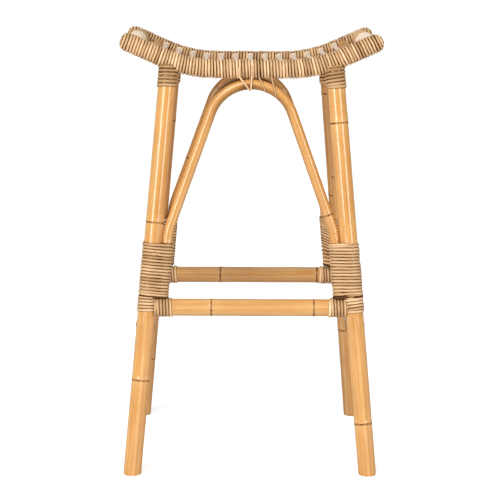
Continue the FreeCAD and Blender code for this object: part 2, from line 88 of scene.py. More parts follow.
class StoolFrameSizes(bpy.types.PropertyGroup):
    """Sizes of the poles and of the saddle curve."""

    foot_half_width: length("Foot half width", "From the middle to a foot's axis, across", 0.2055)
    foot_half_depth: length("Foot half depth", "From the middle to a foot's axis, front to back", 0.2)
    seat_half_depth: length("Seat half depth", "From the middle to a seat rail's axis", 0.118)
    seat_height: length("Seat height", "Height of the rail axis at the middle", 0.7006)
    leg_diameter: length("Leg diameter", "Thickness of a leg pole", 0.031)
    arch_diameter: length("Arch diameter", "Thickness of a bent brace", 0.0178)
    bar_diameter: length("Foot bar diameter", "Thickness of a foot bar", 0.0295)
    rail_diameter: length("Rail diameter", "Thickness of a seat rail under its wrap", 0.027)
    cross_diameter: length("Cross pole diameter", "Thickness of a bare cross pole or bearer", 0.020)
    rail_flat_half: length("Flat half", "Half of the level part of the saddle", 0.06)
    rail_bend_radius: length("Saddle radius", "Radius of the bend of the saddle", 0.24)
    rail_bend_angle: angle("Saddle angle", "Slope of the raised ends", 23.5)
    rail_half_run: length("Rail half run", "Along the rail from the middle to a tip's centre", 0.22)
    end_rail_inset: length("End rail inset", "From a tip's centre to the end rail", 0.009)
    cross_pole_inset: length("Cross pole inset", "From a tip's centre to the bare cross pole", 0.043)
    last_strand_inset: length("Last strand inset", "From a tip's centre to the last strand", 0.0592)
    leg_top_inset: length("Leg top inset", "From a tip's centre to the leg's top", 0.0758)
    strand_lift: length("Strand lift", "Height of the deck strands over the rail axis", 0.0075)
    strand_diameter: length("Strand diameter", "Thickness of a deck strand", 0.0085)
    cane_diameter: length("Lengthwise cane diameter", "Thickness of a lengthwise cane", 0.008)
    cane_spacing: length("Cane spacing", "Between the two lengthwise canes", 0.08)
    crown_radius: length("Crown radius", "Bend of the front and back arches", 0.075)
    side_crown_radius: length("Side crown radius", "Bend of the side arches", 0.06)
    front_joint_rise: length("Joint rise", "Where a front limb leaves its leg, above the binding", 0.018)
    side_joint_rise: length("Side joint rise", "Where a side limb leaves its leg", 0.053)
    limb_bend_radius: length("Limb radius", "Bend of a limb where it leaves the leg", 0.1)
    bar_height: length("Foot bar height", "Axis of the front foot bar", 0.2903)
    back_bar_drop: length("Back bar drop", "How far the back bar lies below the front one", 0.005)
    side_bar_drop: length("Side bar drop", "How far the side bars lie below the front one", 0.035)


class StoolCaneSizes(bpy.types.PropertyGroup):
    """Sizes of the wound cane."""

    turns_per_strand: bpy.props.IntProperty(
        name="Turns per strand", description="Turns of rail cane from one deck strand to the next",
        default=5, min=2, max=12,
    )
    rail_wrap: length("Rail wrap thickness", "How far the rail's cane stands off its pole", 0.0035)
    binding: length("Binding thickness", "How far a binding stands off its poles", 0.0023)
    binding_pitch: length("Binding pitch", "From one turn of a binding to the next", 0.0055)
    end_pitch: length("End wrap pitch", "From one turn of an end wrap to the next", 0.006)
    top_pitch: length("Top binding pitch", "From one turn of a leg's top binding to the next", 0.0062)
    bundle_gap: length("Bundle gap", "From the foot bar's axis to the bundle binding", 0.0207)
    bundle_length: length("Bundle length", "Length of the binding round leg and limbs", 0.093)
    band_drop: length("Band drop", "How far the leg band reaches below the bar's axis", 0.008)
    front_top_binding: length("Front top binding", "Below the rail at the front legs", 0.030)
    back_top_binding: length("Back top binding", "Below the rail at the back legs", 0.043)
    bar_wrap: length("Bar wrap length", "Wrap at each end of a foot bar", 0.027)
    tie_strand: length("Tie strand", "Thickness of a crown tie", 0.0036)
    side_tie: length("Side tie width", "Width of a side crown tie", 0.016)
    looseness: length("Looseness", "How far the turns stray from an even winding", 0.0015)


class StoolColours(bpy.types.PropertyGroup):
    """Colours of the finishes."""

    pole: colour("Pole", "Lacquered rattan skin", (0.76, 0.345, 0.069))
    pole_pale: colour("Pole pale", "Pale streaks of the skin", (0.91, 0.58, 0.25))
    pole_deep: colour("Pole deep", "Deep amber streaks of the skin", (0.48, 0.168, 0.026))
    joint: colour("Growth joint", "Dark line of a growth joint", (0.17, 0.058, 0.012))
    cane: colour("Cane", "Wound cane", (0.75, 0.385, 0.135))
    # the pale colour also paints the highlight on the crowns of the turns, and the deep colour the shade in
    # the gaps
    cane_pale_and_highlight: colour("Cane pale", "Outer face of the palest turns", (0.98, 0.73, 0.46))
    cane_deep_and_shade: colour("Cane deep", "Sides of the turns, and the gaps", (0.125, 0.044, 0.009))
    deck: colour("Deck cane", "Peeled strands of the seat", (0.99, 0.845, 0.69))
    deck_deep: colour("Deck cane deep", "Fibre lines of the strands", (0.72, 0.52, 0.34))
    # painted shade: the seat's shadow on the upper side of the arch crowns
    stain: colour("Stain", "Brown stain under the seat", (0.18, 0.075, 0.018))
    # painted shade: the dark colour of the rail core stands in for the shade in the gaps of the wraps
    core: colour("Rail core", "Unfinished pole under the wraps", (0.12, 0.048, 0.014))
    steel: colour("Screw steel", "Plated steel", (0.42, 0.41, 0.39))
    floor: colour("Floor", "Studio floor", (0.80, 0.80, 0.797))


class StoolStage(bpy.types.PropertyGroup):
    """Camera and studio light."""

    camera_place: bpy.props.FloatVectorProperty(
        name="Camera place", description="Where the camera stands", size=3,
        default=(-0.0435, -3.2224, 0.9268), subtype="TRANSLATION", unit="LENGTH",
    )
    camera_pitch: angle("Camera pitch", "How far the camera looks down", 9.93)
    camera_turn: angle("Camera turn", "How far the camera turns to the right", 0.783)
    camera_roll: angle("Camera roll", "How far the picture is turned", 0.367)
    camera_lens: bpy.props.FloatProperty(
        name="Lens", description="Focal length", default=129.1, unit="CAMERA"
    )
    left_strip: light_level("Left strip", "Power of the soft box on the left", 24)
    right_strip: light_level("Right strip", "Power of the soft box on the right", 18)
    side_power: light_level("Side light", "Power of the wide light on the left", 1)
    sun_power: light_level("Sun power", "Even light from the front and above", 1.08)
    surround: light_level("Surround", "Light from the studio's sides", 0.16)
    overhead: light_level("Overhead", "Light from straight above", 0.62)
    floor_glow: light_level("Floor glow", "How far the floor is lifted to white for the camera", 0.52)


def sizes():
    return bpy.context.scene.stool_frame


def canes():
    return bpy.context.scene.stool_canes


def colours():
    return bpy.context.scene.stool_colours


# ---------------------------------------------------------------- the shape of the frame
def unit(vector):
    return vector / np.linalg.norm(vector)


def saddle(run, lift=0.0):
    """Place on the saddle curve at a run along it, lifted square to it, with its tangent and normal."""
    s = sizes()
    slope = min(max((abs(run) - s.rail_flat_half) / s.rail_bend_radius, 0), s.rail_bend_angle)
    straight = max(abs(run) - s.rail_flat_half - s.rail_bend_radius * s.rail_bend_angle, 0)
    sign = -1.0 if run < 0 else 1.0
    x = min(abs(run), s.rail_flat_half) + s.rail_bend_radius * math.sin(slope) + straight * math.cos(slope)
    z = s.rail_bend_radius * (1 - math.cos(slope)) + straight * math.sin(slope)
    tangent = np.array((math.cos(slope), 0, sign * math.sin(slope)))
    normal = np.array((-sign * math.sin(slope), 0, math.cos(slope)))
    place = np.array((sign * x, 0, s.seat_height + z)) + normal * lift
    return place, tangent, normal


def foot_point(end, side):
    s = sizes()
    return np.array((SIDES[side] * s.foot_half_width, ENDS[end] * s.foot_half_depth, 0))


def top_point(end, side):
    s = sizes()
    place, _, _ = saddle(SIDES[side] * (s.rail_half_run - s.leg_top_inset))
    return place + DEEP * ENDS[end] * s.seat_half_depth


def leg_point(end, side, height):
    foot, top = foot_point(end, side), top_point(end, side)
    return foot + (top - foot) * (height / top[2])


def leg_up(end, side):
    return unit(top_point(end, side) - foot_point(end, side))


def along_line(start, end, step):
    count = max(int(np.linalg.norm(end - start) / step), 2)
    return start + (end - start) * np.linspace(0, 1, count + 1)[:, None]


def along_bends(corners, radii, step):
    """Points along straight runs that are joined at the inner corners by arcs."""
    points = [corners[0][None]]
    start = corners[0]
    for index, radius in enumerate(radii, start=1):
        corner = corners[index]
        inward = unit(corner - corners[index - 1])
        outward = unit(corners[index + 1] - corner)
        turn = math.acos(np.clip(inward @ outward, -1, 1))
        setback = radius * math.tan(turn / 2)
        arc_start = corner - inward * setback
        axis = unit(np.cross(inward, outward))
        toward = np.cross(axis, inward)
        centre = arc_start + toward * radius
        if np.linalg.norm(arc_start - start) > step:
            points.append(along_line(start, arc_start, step)[1:])
        steps = max(int(radius * turn / step), 3)
        for part in np.linspace(0, turn, steps + 1)[1:]:
            points.append((centre + radius * (inward * math.sin(part) - toward * math.cos(part)))[None])
        start = corner + outward * setback
    points.append(along_line(start, corners[-1], step)[1:])
    return np.concatenate(points)


def arch_line(foot, top, across, crown_radius, crown_height, joint_height, step=0.003):
    """The axis of an arch between two legs, in the plane that holds both of their axes."""
    s, c = sizes(), canes()
    middle = foot - across * (foot @ across)
    rise = (top - foot) - across * ((top - foot) @ across)
    upright = unit(rise)
    leg_slope = ((foot - top) @ across) / np.linalg.norm(rise)
    scale = upright[2]
    beside = s.leg_diameter / 2 + s.arch_diameter / 2 + SITTING_GAP
    foot_out = np.linalg.norm(foot - middle) - beside * math.sqrt(1 + leg_slope**2)
    crown = crown_height / scale
    joint_up = joint_height / scale
    joint_out = foot_out - leg_slope * joint_up
    centre_rise = crown - crown_radius - joint_up
    lean = math.atan2(joint_out, centre_rise) - math.asin(crown_radius / math.hypot(joint_out, centre_rise))
    corner_out = crown_radius * math.tan((math.pi / 2 - lean) / 2)
    base_up = (s.bar_height + c.bundle_gap) / scale
    base_out = foot_out - leg_slope * base_up
    half = [(base_out, base_up), (joint_out, joint_up), (corner_out, crown)]
    flat = [(-out, up) for out, up in half] + half[::-1]
    corners = [middle + across * out + upright * up for out, up in flat]
    radii = [s.limb_bend_radius, crown_radius, crown_radius, s.limb_bend_radius]
    return along_bends(corners, radii, step), np.cross(across, upright)


def crosswise(run, lift, half):
    place, _, _ = saddle(run, lift)
    return along_line(place - DEEP * half, place + DEEP * half, 0.003)


# ---------------------------------------------------------------- node helpers
def built_once(store, name):
    """Hands back the tree or finish of this name, and builds it the first time it is asked for."""

    def wrap(build):
        def fetch():
            kept = getattr(bpy.data, store)
            return kept[name] if name in kept else build(name)

        return fetch

    return wrap


def link(tree, source, target):
    tree.links.new(source, target)


def add(tree, kind, **values):
    """A node of a kind, with properties set by name and inputs by their label."""
    node = tree.nodes.new(kind)
    for name, value in values.pop("props", {}).items():
        setattr(node, name, value)
    for name, value in values.items():
        socket = node.inputs[int(name[1:])] if name[0] == "_" else node.inputs[name.replace("_", " ")]
        if isinstance(value, bpy.types.NodeSocket):
            tree.links.new(value, socket)
        else:
            socket.default_value = value
    return node


def arithmetic(tree, operation, first, second=None):
    values = {"_0": first} if second is None else {"_0": first, "_1": second}
    return add(tree, "ShaderNodeMath", props={"operation": operation}, **values).outputs[0]


def scaled(tree, value, amount):
    return arithmetic(tree, "MULTIPLY", value, amount)


def vectors(tree, operation, first, second):
    return add(tree, "ShaderNodeVectorMath", props={"operation": operation}, _0=first, _1=second).outputs[0]


def named(tree, name, kind="FLOAT"):
    return add(tree, "GeometryNodeInputNamedAttribute", props={"data_type": kind}, Name=name).outputs[0]


def stored(tree, geometry, name, value, kind="FLOAT"):
    node = add(
        tree, "GeometryNodeStoreNamedAttribute", props={"data_type": kind, "domain": "POINT"},
        Geometry=geometry, Name=name, Value=value,
    )
    return node.outputs[0]


def new_tree(name, sockets):
    """An empty geometry tree with a mesh input, the named inputs and a mesh output."""
    tree = bpy.data.node_groups.new(name, "GeometryNodeTree")
    tree.interface.new_socket("Geometry", in_out="INPUT", socket_type="NodeSocketGeometry")
    for label, kind, default in sockets:
        socket = tree.interface.new_socket(label, in_out="INPUT", socket_type=kind)
        if default is not None:
            socket.default_value = default
    tree.interface.new_socket("Geometry", in_out="OUTPUT", socket_type="NodeSocketGeometry")
    return tree, tree.nodes.new("NodeGroupInput").outputs, tree.nodes.new("NodeGroupOutput")


def close_tree(tree, geometry, material, output):
    smooth = add(tree, "GeometryNodeSetShadeSmooth", Geometry=geometry)
    real = add(tree, "GeometryNodeRealizeInstances", Geometry=smooth.outputs[0])
    finish = add(tree, "GeometryNodeSetMaterial", Geometry=real.outputs[0], Material=material)
    link(tree, finish.outputs[0], output.inputs[0])


def stray(tree, place, seed, fineness, reach):
    """A smooth random offset of up to about half the reach each way."""
    shift = add(tree, "ShaderNodeCombineXYZ", X=seed, Y=seed)
    spot = vectors(tree, "ADD", vectors(tree, "MULTIPLY", place, (fineness,) * 3), shift.outputs[0])
    noise = add(tree, "ShaderNodeTexNoise", Vector=spot, Scale=1.0, Detail=1.5)
    centred = vectors(tree, "SUBTRACT", noise.outputs["Color"], (0.5, 0.5, 0.5))
    return add(tree, "ShaderNodeVectorMath", props={"operation": "SCALE"}, _0=centred, Scale=reach).outputs[0]


@built_once("node_groups", "Grow Pole")
def pole_tree(name):
    """Sweeps a round pole along a line, a little uneven, and keeps its place round and along the skin."""
    tree, given, output = new_tree(name, [
        ("Radius", "NodeSocketFloat", 0.01),
        ("Sides", "NodeSocketInt", 28),
        ("Unevenness", "NodeSocketFloat", 0.0006),
        ("Seed", "NodeSocketInt", 1),
        ("Material", "NodeSocketMaterial", None),
    ])
    line = add(tree, "GeometryNodeMeshToCurve", Mesh=given["Geometry"]).outputs[0]
    steady = add(
        tree, "GeometryNodeSetCurveNormal", props={"mode": "FREE"},
        Curve=line, Normal=named(tree, "outward", "FLOAT_VECTOR"),
    )
    run = tree.nodes.new("GeometryNodeSplineParameter").outputs["Length"]
    line = stored(tree, steady.outputs[0], "along", run)
    ring = add(tree, "GeometryNodeCurvePrimitiveCircle", Resolution=given["Sides"], Radius=1.0).outputs[0]
    ring = stored(tree, ring, "ring", tree.nodes.new("GeometryNodeInputPosition").outputs[0], "FLOAT_VECTOR")
    thickness = scaled(tree, given["Radius"], named(tree, "girth"))
    sweep = add(
        tree, "GeometryNodeCurveToMesh", _0=line, _1=ring, Scale=thickness, Fill_Caps=True
    )
    place = tree.nodes.new("GeometryNodeInputPosition").outputs[0]
    offset = stray(tree, place, given["Seed"], 28.0, given["Unevenness"])
    moved = add(tree, "GeometryNodeSetPosition", Geometry=sweep.outputs[0], Offset=offset)
    close_tree(tree, moved.outputs[0], given["Material"], output)
    return tree


@built_once("node_groups", "Wind Cane")
def cane_tree(name):
    """Sweeps a strand of split cane along a wound line, its flat side against the pole."""
    tree, given, output = new_tree(name, [
        ("Strand Width", "NodeSocketFloat", 0.005),
        ("Strand Height", "NodeSocketFloat", 0.002),
        ("Flat Side", "NodeSocketFloat", 0.2),
        ("Section Points", "NodeSocketInt", 10),
        ("Looseness", "NodeSocketFloat", 0.0005),
        ("Seed", "NodeSocketInt", 1),
        ("Material", "NodeSocketMaterial", None),
    ])
    line = add(tree, "GeometryNodeMeshToCurve", Mesh=given["Geometry"]).outputs[0]
    steady = add(
        tree, "GeometryNodeSetCurveNormal", props={"mode": "FREE"},
        Curve=line, Normal=named(tree, "outward", "FLOAT_VECTOR"),
    )
    run = tree.nodes.new("GeometryNodeSplineParameter").outputs["Length"]
    line = stored(tree, steady.outputs[0], "along", run)
    place = tree.nodes.new("GeometryNodeInputPosition").outputs[0]
    offset = stray(tree, place, given["Seed"], 95.0, given["Looseness"])
    line = add(tree, "GeometryNodeSetPosition", Geometry=line, Offset=offset).outputs[0]
    ring = add(
        tree, "GeometryNodeCurvePrimitiveCircle", Resolution=given["Section Points"], Radius=1.0
    ).outputs[0]
    place = tree.nodes.new("GeometryNodeInputPosition").outputs[0]
    ring = stored(tree, ring, "ring", place, "FLOAT_VECTOR")
    apart = add(tree, "ShaderNodeSeparateXYZ", Vector=place)
    outer = arithmetic(tree, "MAXIMUM", apart.outputs["X"], 0.0)
    inner = arithmetic(tree, "MINIMUM", apart.outputs["X"], 0.0)
    inner = scaled(tree, inner, given["Flat Side"])
    high = scaled(tree, arithmetic(tree, "ADD", outer, inner), given["Strand Height"])
    wide = scaled(tree, apart.outputs["Y"], scaled(tree, given["Strand Width"], 0.5))
    section = add(tree, "ShaderNodeCombineXYZ", X=high, Y=wide).outputs[0]
    ring = add(tree, "GeometryNodeSetPosition", Geometry=ring, Position=section).outputs[0]
    sweep = add(
        tree, "GeometryNodeCurveToMesh", _0=line, _1=ring, Scale=named(tree, "girth"), Fill_Caps=True
    )
    close_tree(tree, sweep.outputs[0], given["Material"], output)
    return tree


class Line:
    """A path for a pole or strand, with the way out, the girth, the tone and painted shade, the growth joints
    and the painted seat shade.
    """

    def __init__(self, points, outward, girth=1.0, tone=0.5, growth=None, stain=0.0):
        count = len(points)
        self.points = np.asarray(points, float)
        self.outward = np.broadcast_to(outward, (count, 3)).astype(float)
        self.girth = np.broadcast_to(girth, count).astype(float)
        self.tone = np.broadcast_to(tone, count).astype(float)
        self.growth = np.broadcast_to(1.0 if growth is None else growth, count).astype(float)
        self.stain = np.broadcast_to(stain, count).astype(float)


def run_along(points):
    return np.r_[0, np.cumsum(np.linalg.norm(np.diff(points, axis=0), axis=1))]


def grow(name, lines, tree, slot, **inputs):
    """Sweeps the lines through a tree and leaves one plain mesh, which rides on the stool."""
    mesh = bpy.data.meshes.new(name + "_line")
    points = np.concatenate([line.points for line in lines])
    edges, first = [], 0
    for line in lines:
        edges += [(first + i, first + i + 1) for i in range(len(line.points) - 1)]
        first += len(line.points)
    mesh.from_pydata(points.tolist(), edges, [])
    vector = mesh.attributes.new("outward", "FLOAT_VECTOR", "POINT")
    vector.data.foreach_set("vector", np.concatenate([line.outward for line in lines]).ravel())
    for label in ("girth", "tone", "growth", "stain"):
        values = mesh.attributes.new(label, "FLOAT", "POINT")
        values.data.foreach_set("value", np.concatenate([getattr(line, label) for line in lines]))
    piece = bpy.data.objects.new(name, mesh)
    bpy.context.scene.collection.objects.link(piece)
    modifier = piece.modifiers.new("Grow", "NODES")
    modifier.node_group = tree
    keys = {item.name: item.identifier for item in tree.interface.items_tree if item.in_out == "INPUT"}
    for label, value in inputs.items():
        modifier[keys[label.replace("_", " ")]] = value
    graph = bpy.context.evaluated_depsgraph_get()
    grown = bpy.data.meshes.new_from_object(piece.evaluated_get(graph), depsgraph=graph)
    piece.modifiers.remove(modifier)
    piece.data = grown
    grown.name = name
    bpy.data.meshes.remove(mesh)
    grown.set_sharp_from_angle(angle=math.radians(50))
    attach(piece, "root")
    return piece


# ---------------------------------------------------------------- finishes
def group_sockets(tree, inputs, outputs):
    for label, kind, default in inputs:
        tree.interface.new_socket(label, in_out="INPUT", socket_type=kind).default_value = default
    for label, kind in outputs:
        tree.interface.new_socket(label, in_out="OUTPUT", socket_type=kind)
    return tree.nodes.new("NodeGroupInput").outputs, tree.nodes.new("NodeGroupOutput").inputs


def ranged(tree, value, low, high, to_low=0.0, to_high=1.0):
    node = add(tree, "ShaderNodeMapRange", Value=value)
    for label, number in (("From Min", low), ("From Max", high), ("To Min", to_low), ("To Max", to_high)):
        node.inputs[label].default_value = number
    return node.outputs[0]


@built_once("node_groups", "Rattan Fibre")
def fibre_group(name):
    """Fine lines and small flecks that run along a cane or pole."""
    tree = bpy.data.node_groups.new(name, "ShaderNodeTree")
    given, output = group_sockets(
        tree,
        [("Place", "NodeSocketVector", (0, 0, 0)), ("Fineness", "NodeSocketFloat", 300.0),
         ("Stretch", "NodeSocketFloat", 0.04)],
        [("Lines", "NodeSocketFloat"), ("Flecks", "NodeSocketFloat"), ("Clouds", "NodeSocketFloat")],
    )
    drawn = add(tree, "ShaderNodeCombineXYZ", X=1.0, Y=1.0, Z=given["Stretch"]).outputs[0]
    fine = vectors(tree, "MULTIPLY", given["Place"], drawn)
    fine = add(
        tree, "ShaderNodeVectorMath", props={"operation": "SCALE"}, _0=fine, Scale=given["Fineness"]
    ).outputs[0]
    lines = add(tree, "ShaderNodeTexNoise", Vector=fine, Scale=1.0, Detail=5.0, Roughness=0.6)
    link(tree, ranged(tree, lines.outputs["Fac"], 0.33, 0.67), output["Lines"])
    spots = vectors(tree, "MULTIPLY", given["Place"], (420, 420, 150))
    flecks = add(tree, "ShaderNodeTexNoise", Vector=spots, Scale=1.0, Detail=2.0)
    link(tree, ranged(tree, flecks.outputs["Fac"], 0.66, 0.76), output["Flecks"])
    wide = vectors(tree, "MULTIPLY", given["Place"], (40, 40, 14))
    clouds = add(tree, "ShaderNodeTexNoise", Vector=wide, Scale=1.0, Detail=3.0)
    link(tree, ranged(tree, clouds.outputs["Fac"], 0.35, 0.65), output["Clouds"])
    return tree


@built_once("node_groups", "Handling Wear")
def wear_group(name):
    """Where hands and time darken or rub a surface, in broad soft patches."""
    tree = bpy.data.node_groups.new(name, "ShaderNodeTree")
    given, output = group_sockets(
        tree,
        [("Size", "NodeSocketFloat", 30.0)],
        [("Patches", "NodeSocketFloat"), ("Dust", "NodeSocketFloat")],
    )
    place = tree.nodes.new("ShaderNodeTexCoord").outputs["Object"]
    broad = add(tree, "ShaderNodeTexNoise", Vector=place, Scale=given["Size"], Detail=4.0, Roughness=0.6)
    link(tree, ranged(tree, broad.outputs["Fac"], 0.42, 0.68), output["Patches"])
    small = add(tree, "ShaderNodeTexNoise", Vector=place, Scale=900.0, Detail=2.0)
    link(tree, ranged(tree, small.outputs["Fac"], 0.5, 0.75), output["Dust"])
    return tree


def mixed(tree, factor, first, second, blend="MIX"):
    node = add(tree, "ShaderNodeMix", props={"data_type": "RGBA", "blend_type": blend})
    for socket, value in ((node.inputs[0], factor), (node.inputs[6], first), (node.inputs[7], second)):
        if isinstance(value, bpy.types.NodeSocket):
            tree.links.new(value, socket)
        elif isinstance(value, (int, float)):
            socket.default_value = value
        else:
            socket.default_value = (*value, 1)
    return node.outputs[2]


def darkened(tree, base, shade):
    """The base colour times a grey."""
    grey = add(tree, "ShaderNodeCombineColor", _0=shade, _1=shade, _2=shade).outputs[0]
    return mixed(tree, 1.0, base, grey, "MULTIPLY")


def fibre_over(tree, place, fineness, stretch):
    """The fibre group, placed in a finish with its own fineness and stretch."""
    group = {"node_tree": fibre_group()}
    return add(tree, "ShaderNodeGroup", props=group, Place=place, Fineness=fineness, Stretch=stretch)


def wear_over(tree, size):
    """The wear group, placed in a finish with its own patch size."""
    return add(tree, "ShaderNodeGroup", props={"node_tree": wear_group()}, Size=size)


def new_finish(name):
    material = bpy.data.materials.new(name)
    material.use_nodes = True
    tree = material.node_tree
    tree.nodes.clear()
    shader = tree.nodes.new("ShaderNodeBsdfPrincipled")
    output = tree.nodes.new("ShaderNodeOutputMaterial")
    link(tree, shader.outputs[0], output.inputs[0])
    return material, tree, shader


def attribute(tree, name, output="Fac"):
    return add(tree, "ShaderNodeAttribute", props={"attribute_name": name}).outputs[output]


def skin_place(tree, radius):
    """Place on the skin of a swept piece: round it, at its own radius, and along it."""
    ring = add(tree, "ShaderNodeSeparateXYZ", Vector=attribute(tree, "ring", "Vector"))
    across = scaled(tree, ring.outputs[0], radius)
    deep = scaled(tree, ring.outputs[1], radius)
    along = attribute(tree, "along")
    tone_shift = scaled(tree, attribute(tree, "tone"), 3.7)
    shifted = arithmetic(tree, "ADD", across, tone_shift)
    return add(tree, "ShaderNodeCombineXYZ", X=shifted, Y=deep, Z=along).outputs[0]


def bumped(tree, shader, height, strength, distance):
    bump = add(tree, "ShaderNodeBump", Height=height)
    bump.inputs["Strength"].default_value = strength
    bump.inputs["Distance"].default_value = distance
    link(tree, bump.outputs[0], shader.inputs["Normal"])


@built_once("materials", "Lacquered Rattan")
def pole_finish(name):
    """Lacquered rattan: honey skin with long streaks, flecks, dark growth joints and a soft gloss."""
    material, tree, shader = new_finish(name)
    k = colours()
    place = skin_place(tree, 0.014)
    fibre = fibre_over(tree, place, 330.0, 0.025)
    wear = wear_over(tree, 16.0)
    growth = arithmetic(tree, "ABSOLUTE", attribute(tree, "growth"))
    ripple = add(tree, "ShaderNodeTexNoise", Vector=place, Scale=160.0, Detail=2.0).outputs["Fac"]
    waver = scaled(tree, arithmetic(tree, "SUBTRACT", ripple, 0.5), 0.0014)
    edge = arithmetic(tree, "ADD", growth, waver)
    joint_line = ranged(tree, edge, 0.0008, 0.0023, 1.0, 0.0)
    joint_band = ranged(tree, edge, 0.001, 0.016, 1.0, 0.0)
    ring = add(tree, "ShaderNodeSeparateXYZ", Vector=attribute(tree, "ring", "Vector"))
    long_way = scaled(tree, attribute(tree, "along"), 2.2)
    piece_shift = scaled(tree, attribute(tree, "tone"), 11.0)
    round_way = add(
        tree, "ShaderNodeCombineXYZ",
        X=arithmetic(tree, "ADD", scaled(tree, ring.outputs[0], 3.0), piece_shift),
        Y=scaled(tree, ring.outputs[1], 3.0), Z=long_way,
    ).outputs[0]
    band = add(
        tree, "ShaderNodeTexNoise", Vector=round_way, Scale=1.0, Detail=2.0, Roughness=0.45
    ).outputs["Fac"]
    pale_band = ranged(tree, band, 0.52, 0.66)
    deep_band = ranged(tree, band, 0.47, 0.33)
    streaks = scaled(tree, fibre.outputs["Lines"], 0.42)
    base = mixed(tree, streaks, k.pole, k.pole_pale)
    base = mixed(tree, scaled(tree, pale_band, 0.62), base, k.pole_pale)
    base = mixed(tree, scaled(tree, deep_band, 0.34), base, k.pole_deep)
    base = mixed(tree, scaled(tree, fibre.outputs["Clouds"], 0.22), base, k.pole_deep)
    base = mixed(tree, scaled(tree, fibre.outputs["Flecks"], 0.32), base, k.pole_deep)
    base = mixed(tree, scaled(tree, wear.outputs["Patches"], 0.14), base, k.pole_deep)
    base = mixed(tree, scaled(tree, joint_band, 0.18), base, k.pole_pale)
    round_part = add(tree, "ShaderNodeTexNoise", Vector=round_way, Scale=0.55, Detail=1.0).outputs["Fac"]
    arc = ranged(tree, round_part, 0.42, 0.56, 0.6, 1.0)
    base = mixed(tree, scaled(tree, joint_line, arc), base, k.joint)
    # painted seat shade falls on the upper side, and reaches further round where it is stronger
    stain = attribute(tree, "stain")
    upper = ranged(tree, arithmetic(tree, "ADD", ring.outputs[1], stain), 0.55, 1.15)
    shadowed = scaled(tree, stain, upper)
    base = mixed(tree, shadowed, base, k.stain)
    # the tone darkens a whole piece: at random, and as painted shade on the pieces at the back
    shade = ranged(tree, attribute(tree, "tone"), 0.0, 1.0, 0.55, 1.08)
    base = darkened(tree, base, shade)
    link(tree, base, shader.inputs["Base Color"])
    rough = ranged(tree, fibre.outputs["Lines"], 0.0, 1.0, 0.40, 0.30)
    rough = arithmetic(tree, "ADD", rough, scaled(tree, wear.outputs["Dust"], 0.07))
    link(tree, rough, shader.inputs["Roughness"])
    # the lacquer is thin at the joints and under the painted seat shade, and dull at a glancing view
    facing = tree.nodes.new("ShaderNodeLayerWeight").outputs["Facing"]
    unshadowed = ranged(tree, shadowed, 0.0, 0.6, 1.0, 0.1)
    gloss = scaled(tree, ranged(tree, facing, 0.25, 0.7, 1.0, 0.08), unshadowed)
    gloss = scaled(tree, gloss, arithmetic(tree, "SUBTRACT", 1.0, joint_line))
    link(tree, gloss, shader.inputs["Coat Weight"])
    shader.inputs["Coat Roughness"].default_value = 0.13
    shader.inputs["Coat IOR"].default_value = 1.68
    shader.inputs["Specular IOR Level"].default_value = 0.2
    groove = scaled(tree, joint_line, -1.4)
    height = arithmetic(tree, "ADD", scaled(tree, fibre.outputs["Lines"], 0.5), groove)
    bumped(tree, shader, height, 0.35, 0.0006)
    return material


@built_once("materials", "Wound Cane")
def cane_finish(name):
    """Wound cane: tan split strands, with a painted highlight on the crown of each turn and painted brown
    shade in the gaps.
    """
    material, tree, shader = new_finish(name)
    k = colours()
    place = skin_place(tree, 0.0025)
    fibre = fibre_over(tree, place, 900.0, 0.06)
    wear = wear_over(tree, 34.0)
    ring = add(tree, "ShaderNodeSeparateXYZ", Vector=attribute(tree, "ring", "Vector"))
    side = arithmetic(tree, "ABSOLUTE", ring.outputs[1])
    # the crown of each turn is painted pale as a highlight, more on the paler turns
    crown = ranged(tree, side, 0.25, 0.92, 1.0, 0.0)
    tone = attribute(tree, "tone")
    base = mixed(tree, scaled(tree, crown, ranged(tree, tone, 0.0, 1.0, 0.28, 1.0)), k.cane, k.cane_pale_and_highlight)
    # tones above one paint the turn cream-white, a painted highlight
    base = mixed(tree, ranged(tree, tone, 1.0, 1.4, 0.0, 0.9), base, k.deck)
    # tones below zero paint a turn dark brown as shade
    base = mixed(tree, ranged(tree, tone, -0.1, -0.4, 0.0, 0.95), base, k.cane_deep_and_shade)
    base = mixed(tree, scaled(tree, fibre.outputs["Lines"], 0.20), base, k.cane_deep_and_shade)
    base = mixed(tree, scaled(tree, fibre.outputs["Flecks"], 0.5), base, k.cane_deep_and_shade)
    base = mixed(tree, scaled(tree, wear.outputs["Patches"], 0.22), base, k.cane_deep_and_shade)
    # the painted gap shade is wider beside the darker turns
    gap_widening = scaled(tree, arithmetic(tree, "SUBTRACT", 0.5, tone), 0.32)
    gap_shade_side = arithmetic(tree, "ADD", side, gap_widening)
    base = mixed(tree, ranged(tree, gap_shade_side, 0.62, 0.90, 0.0, 0.94), base, k.cane_deep_and_shade)
    shade = ranged(tree, tone, 0.0, 1.0, 0.70, 1.14)
    base = darkened(tree, base, shade)
    link(tree, base, shader.inputs["Base Color"])
    rough = ranged(tree, fibre.outputs["Lines"], 0.0, 1.0, 0.42, 0.60)
    link(tree, rough, shader.inputs["Roughness"])
    shader.inputs["Specular IOR Level"].default_value = 0.12
    bumped(tree, shader, fibre.outputs["Lines"], 0.4, 0.0003)
    return material


